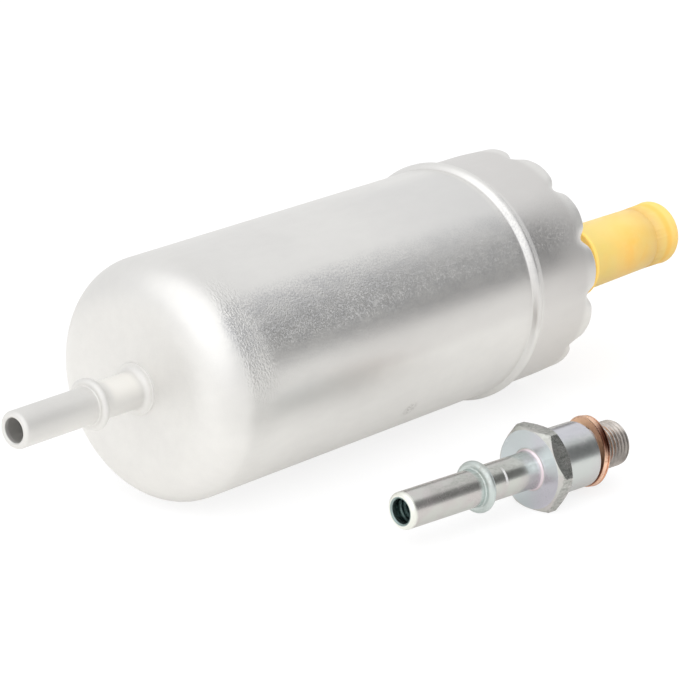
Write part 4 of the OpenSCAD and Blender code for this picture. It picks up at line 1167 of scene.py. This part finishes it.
leaning = Matrix.Rotation(washer["leanTo"], 4, "X") @ Matrix.Rotation(washer["lean"], 4, "Y")
washerPlace = fittingPlace @ Matrix.Translation((washer["out"] * mm, 0, 0)) @ leaning
copper = finishes["softCopper"]
newPiece("crushWasher", washerMesh(), copper, "washer", ["copper_washer"], washerPlace)
print("Washer made")


# Terminals on the end cover: studs with cut threads, hexagonal nuts and flat washers

terminals = {
    "positive": {"side": 9.546, "up": 9.546, "thread": 2.0, "pitch": 0.7, "nut": 7.0, "nutThick": 3.2},
    "negative": {"side": 9.546, "up": -9.546, "thread": 2.5, "pitch": 0.8, "nut": 8.0, "nutThick": 4.0},
}
studSizes = {
    "headStart": 55.5, "headEnd": 57.0, "face": 68.0, "collarEnd": 69.5, "washerEnd": 70.3, "end": 81.0,
    "head": 3.5, "depthShare": 0.6, "nutBevel": 0.6, "nutFace": 0.965, "gap": 0.05, "sharpness": 90,
    "steps": 48, "washerSteps": 72, "perSide": 16,
}


def studMesh(stud):
    c = studSizes
    r, head, collarEnd, end = stud["thread"], c["head"], c["collarEnd"], c["end"]
    shank = r - 0.25
    outline = roundOff([
        (c["headStart"], 0), (c["headStart"], head, 0.3), (c["headEnd"], head, 0.1),
        (c["headEnd"], shank, 0.1), (c["face"], shank, 0.1), (c["face"], head, 0.1),
        (collarEnd, head, 0.25), (collarEnd, r, 0.1), (collarEnd + 0.5, r),
    ])
    outline += straight((collarEnd + 0.5, r), (end - 0.5, r), int((end - collarEnd - 1) * 14))
    outline += roundOff([(end - 0.5, r), (end - 0.4, r, 0.1), (end, r - 0.4, 0.1), (end, 0)])
    return threaded(
        turned("stud", outline, c["steps"]), finishes["turnedBrass"], collarEnd + 0.2, end - 0.2,
        stud["pitch"], stud["pitch"] * c["depthShare"], r - 0.45, r + 0.1,
    )


def nutMesh(stud):
    c = studSizes
    start, end, bore = c["washerEnd"], c["washerEnd"] + stud["nutThick"], stud["thread"] + c["gap"]
    face = stud["nut"] / 2 * c["nutFace"]
    outline = [(start, bore + 0.4)]
    outline += hexRings(stud["nut"], face, start, end, c["sharpness"], c["nutBevel"], 0.03)
    outline += [(end, bore + 0.4), (end - 0.4, bore), (start + 0.4, bore)]
    return turned("nut", outline, angles=hexAngles(c["perSide"]))


def flatWasherMesh(stud):
    c = studSizes
    start, end, bore, r = c["collarEnd"], c["washerEnd"], stud["thread"] + c["gap"], stud["nut"] / 2
    corners = [(start, bore, 0.08), (start, r, 0.2), (end, r, 0.2), (end, bore, 0.08)]
    return turned("flatWasher", roundOff(corners, guard=0.02), c["washerSteps"])


zinc = finishes["zincPlate"]
flatWashers = []
for pole, stud in terminals.items():
    place = Matrix.Translation(Vector((0, stud["side"], stud["up"])) * mm)
    newPiece(f"{pole}Stud", studMesh(stud), None, "pump", [f"{pole}_terminal"], place)
    newPiece(f"{pole}Nut", nutMesh(stud), zinc, "pump", [f"{pole}_nut"], place)
    ring = flatWasherMesh(stud)
    ring.transform(place)
    flatWashers.append(ring)
washerPair = stored(opened(*flatWashers), bpy.data.meshes.new("flatWashers"))
newPiece("flatWashers", washerPair, zinc, "pump", ["terminal_washers"])
print("Terminals made")


# The end cover: the CAD shape with its edges rounded

cover = {"fillet": 0.25, "filletFrom": 35, "sharpFrom": 25, "flat": 0.5}


def ordered(shape, name):
    # The same mesh with its points and faces in an order that doesn't change from run to run
    points = sorted({tuple(v.co) for v in shape.verts})
    index = {point: i for i, point in enumerate(points)}
    faces = sorted([index[tuple(v.co)] for v in face.verts] for face in shape.faces)
    shape.free()
    mesh = bpy.data.meshes.new(name)
    mesh.from_pydata(points, [], faces)
    return mesh


def roundedCopy(node, sizes):
    # A welded copy of a CAD node's mesh with fillets on the edges that turn by more than an angle
    shape = opened(cadNodes[node].data)
    bmesh.ops.remove_doubles(shape, verts=shape.verts, dist=1e-6)
    flat = math.radians(sizes["flat"])
    bmesh.ops.dissolve_limit(shape, angle_limit=flat, verts=shape.verts, edges=shape.edges)

    def turning(degrees):
        least = math.radians(degrees)
        return [e for e in shape.edges if len(e.link_faces) == 2 and e.calc_face_angle(0) > least]

    bmesh.ops.bevel(
        shape, geom=turning(sizes["filletFrom"]), offset=sizes["fillet"] * mm, offset_type="OFFSET",
        segments=2, profile=0.5, affect="EDGES", clamp_overlap=True,
    )
    bmesh.ops.triangulate(shape, faces=[f for f in shape.faces if len(f.verts) > 4])
    mesh = ordered(shape, node)
    shape = opened(mesh)
    smoothOut(shape)
    for edge in turning(sizes["sharpFrom"]):
        edge.smooth = False
    return stored(shape, mesh)


coverMesh = roundedCopy("end_cover", cover)
newPiece("endCover", coverMesh, finishes["mouldedBlack"], "pump", ["end_cover"])
print("End cover:", len(coverMesh.polygons), "faces")


# Coil springs: wound along a spiral with closed ends

def makeCoilTree():
    tree, given = newTree("coilSpring", ("Radius", "Length", "Wire", "Turns"), ("Steps",))
    turns, wire = given["Turns"], given["Wire"]
    spiral = addWire(tree, "GeometryNodeCurveSpiral", {
        "Resolution": given["Steps"], "Rotations": turns, "Start Radius": given["Radius"],
        "End Radius": given["Radius"], "Height": 1.0,
    })
    x, y, z = axes(addWire(tree, "GeometryNodeInputPosition"))
    turn = z * turns
    pitch = (given["Length"] - (wire * 3)) / (turns - 2)
    first = turn.math("MINIMUM", 1) * wire
    middle = (turn - 1).math("MAXIMUM", 0).math("MINIMUM", turns - 2) * pitch
    last = (turn - (turns - 1)).math("MAXIMUM", 0) * wire
    rise = (first + middle) + (last + (wire * 0.5))
    curve = movedTo(tree, spiral, x, y, rise)
    section = addWire(tree, "GeometryNodeCurvePrimitiveCircle", {"Resolution": 10, "Radius": wire * 0.5})
    swept = {"Curve": curve, "Profile Curve": section, "Fill Caps": True}
    return endTree(tree, addWire(tree, "GeometryNodeCurveToMesh", swept), given["Material"])


coilTree = makeCoilTree()
alongX = Matrix.Rotation(math.pi / 2, 4, "Y")
coilWire = 0.6
coilSteps = 28
# Springs along X take their place from the CAD: which end stays still, and how far the other one goes
coils = {
    "reliefSpring": {
        "node": "relief_spring", "turns": 7, "joint": "relief_lift", "travel": 1.5, "fixedLow": True,
    },
}
for pole in terminals:
    coils[f"{pole}BrushSpring"] = {
        "node": f"{pole}_brush_spring", "turns": 9, "joint": f"{pole}_brush_slide", "travel": 3.0,
        "fixedLow": False,
    }
valveCoil = {
    "node": "valve_spring", "turns": 9, "joint": "valve_lift", "travel": 3.0, "start": 40.35, "end": 55.55,
    "radius": 3.2,
}


def newCoil(name, coil, body, radius, length, place):
    # radius and length are outer sizes in metres, from the start of the coil along X
    steel = finishes["machinedSteel"]
    inputs = {
        "Radius": radius - coilWire * mm / 2, "Length": length, "Wire": coilWire * mm,
        "Turns": coil["turns"], "Steps": coil["turns"] * coilSteps, "Material": steel,
    }
    mesh = settle(runTree(bpy.data.meshes.new(name), coilTree, inputs))
    return newPiece(name, mesh, steel, body, [coil["node"]], place @ alongX)


def makeBoxedCoil(name, coil):
    low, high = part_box(coil["node"])
    middle = (low + high) / 2
    length = high.x - low.x
    place = Matrix.Translation((low.x, middle.y, middle.z))
    piece = newCoil(name, coil, "pump", (high.y - low.y) / 2, length, place)
    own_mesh(piece)


def makeValveCoil(name, coil):
    place = fittingPlace @ Matrix.Translation((coil["start"] * mm, 0, 0))
    length = (coil["end"] - coil["start"]) * mm
    piece = newCoil(name, coil, "outlet_fitting", coil["radius"] * mm, length, place)
    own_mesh(piece)


def squashLead(pole):
    # A brush lead gets its own copy of its CAD mesh
    node = f"{pole}_brush_lead"
    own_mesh(cadNodes[node])


for name, coil in coils.items():
    makeBoxedCoil(name, coil)
makeValveCoil("valveSpring", valveCoil)
for pole in terminals:
    squashLead(pole)
print("Springs wound:", len(coils) + 1)


# CAD nodes whose shape is right keep it and get a finish

nodeFinishes = {
    "mouldedBlack": ["brush_holder"],
    "machinedSteel": [
        "pump_screws", "relief_ball", "pump_rollers", "rotor_key", "armature_shaft", "magnet_clips",
        "cam_ring", "pump_rotor",
    ],
    "rolledSteel": ["flux_ring", "armature_core"],
    "castPlate": ["intake_plate", "base_plate"],
    "sinteredBronze": ["front_bush", "rear_bush"],
    "turnedBrass": ["relief_plug", "valve_seat"],
    "barCopper": ["commutator_bars", "positive_brush_lead", "negative_brush_lead"],
    "enamelWire": ["armature_winding"],
    "ferrite": ["magnet_upper", "magnet_lower"],
    "brownResin": ["commutator_hub"],
    "pressedCarbon": ["positive_brush", "negative_brush"],
    "ivoryResin": ["valve_poppet", "thrust_washers"],
    "sealRubber": ["cover_seal", "pump_seal", "valve_seal"],
}
for finish, names in nodeFinishes.items():
    for name in names:
        mesh = cadNodes[name].data
        mesh.materials.clear()
        mesh.materials.append(finishes[finish])
print("CAD nodes finished:", sum(map(len, nodeFinishes.values())))

bpy.context.view_layer.update()
sizes = {"cad": [list(corner) for corner in cadBox], "visual": [list(corner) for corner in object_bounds()]}
print("Size:", [round((b - a) * 1000, 1) for a, b in zip(*sizes["visual"])], "mm")
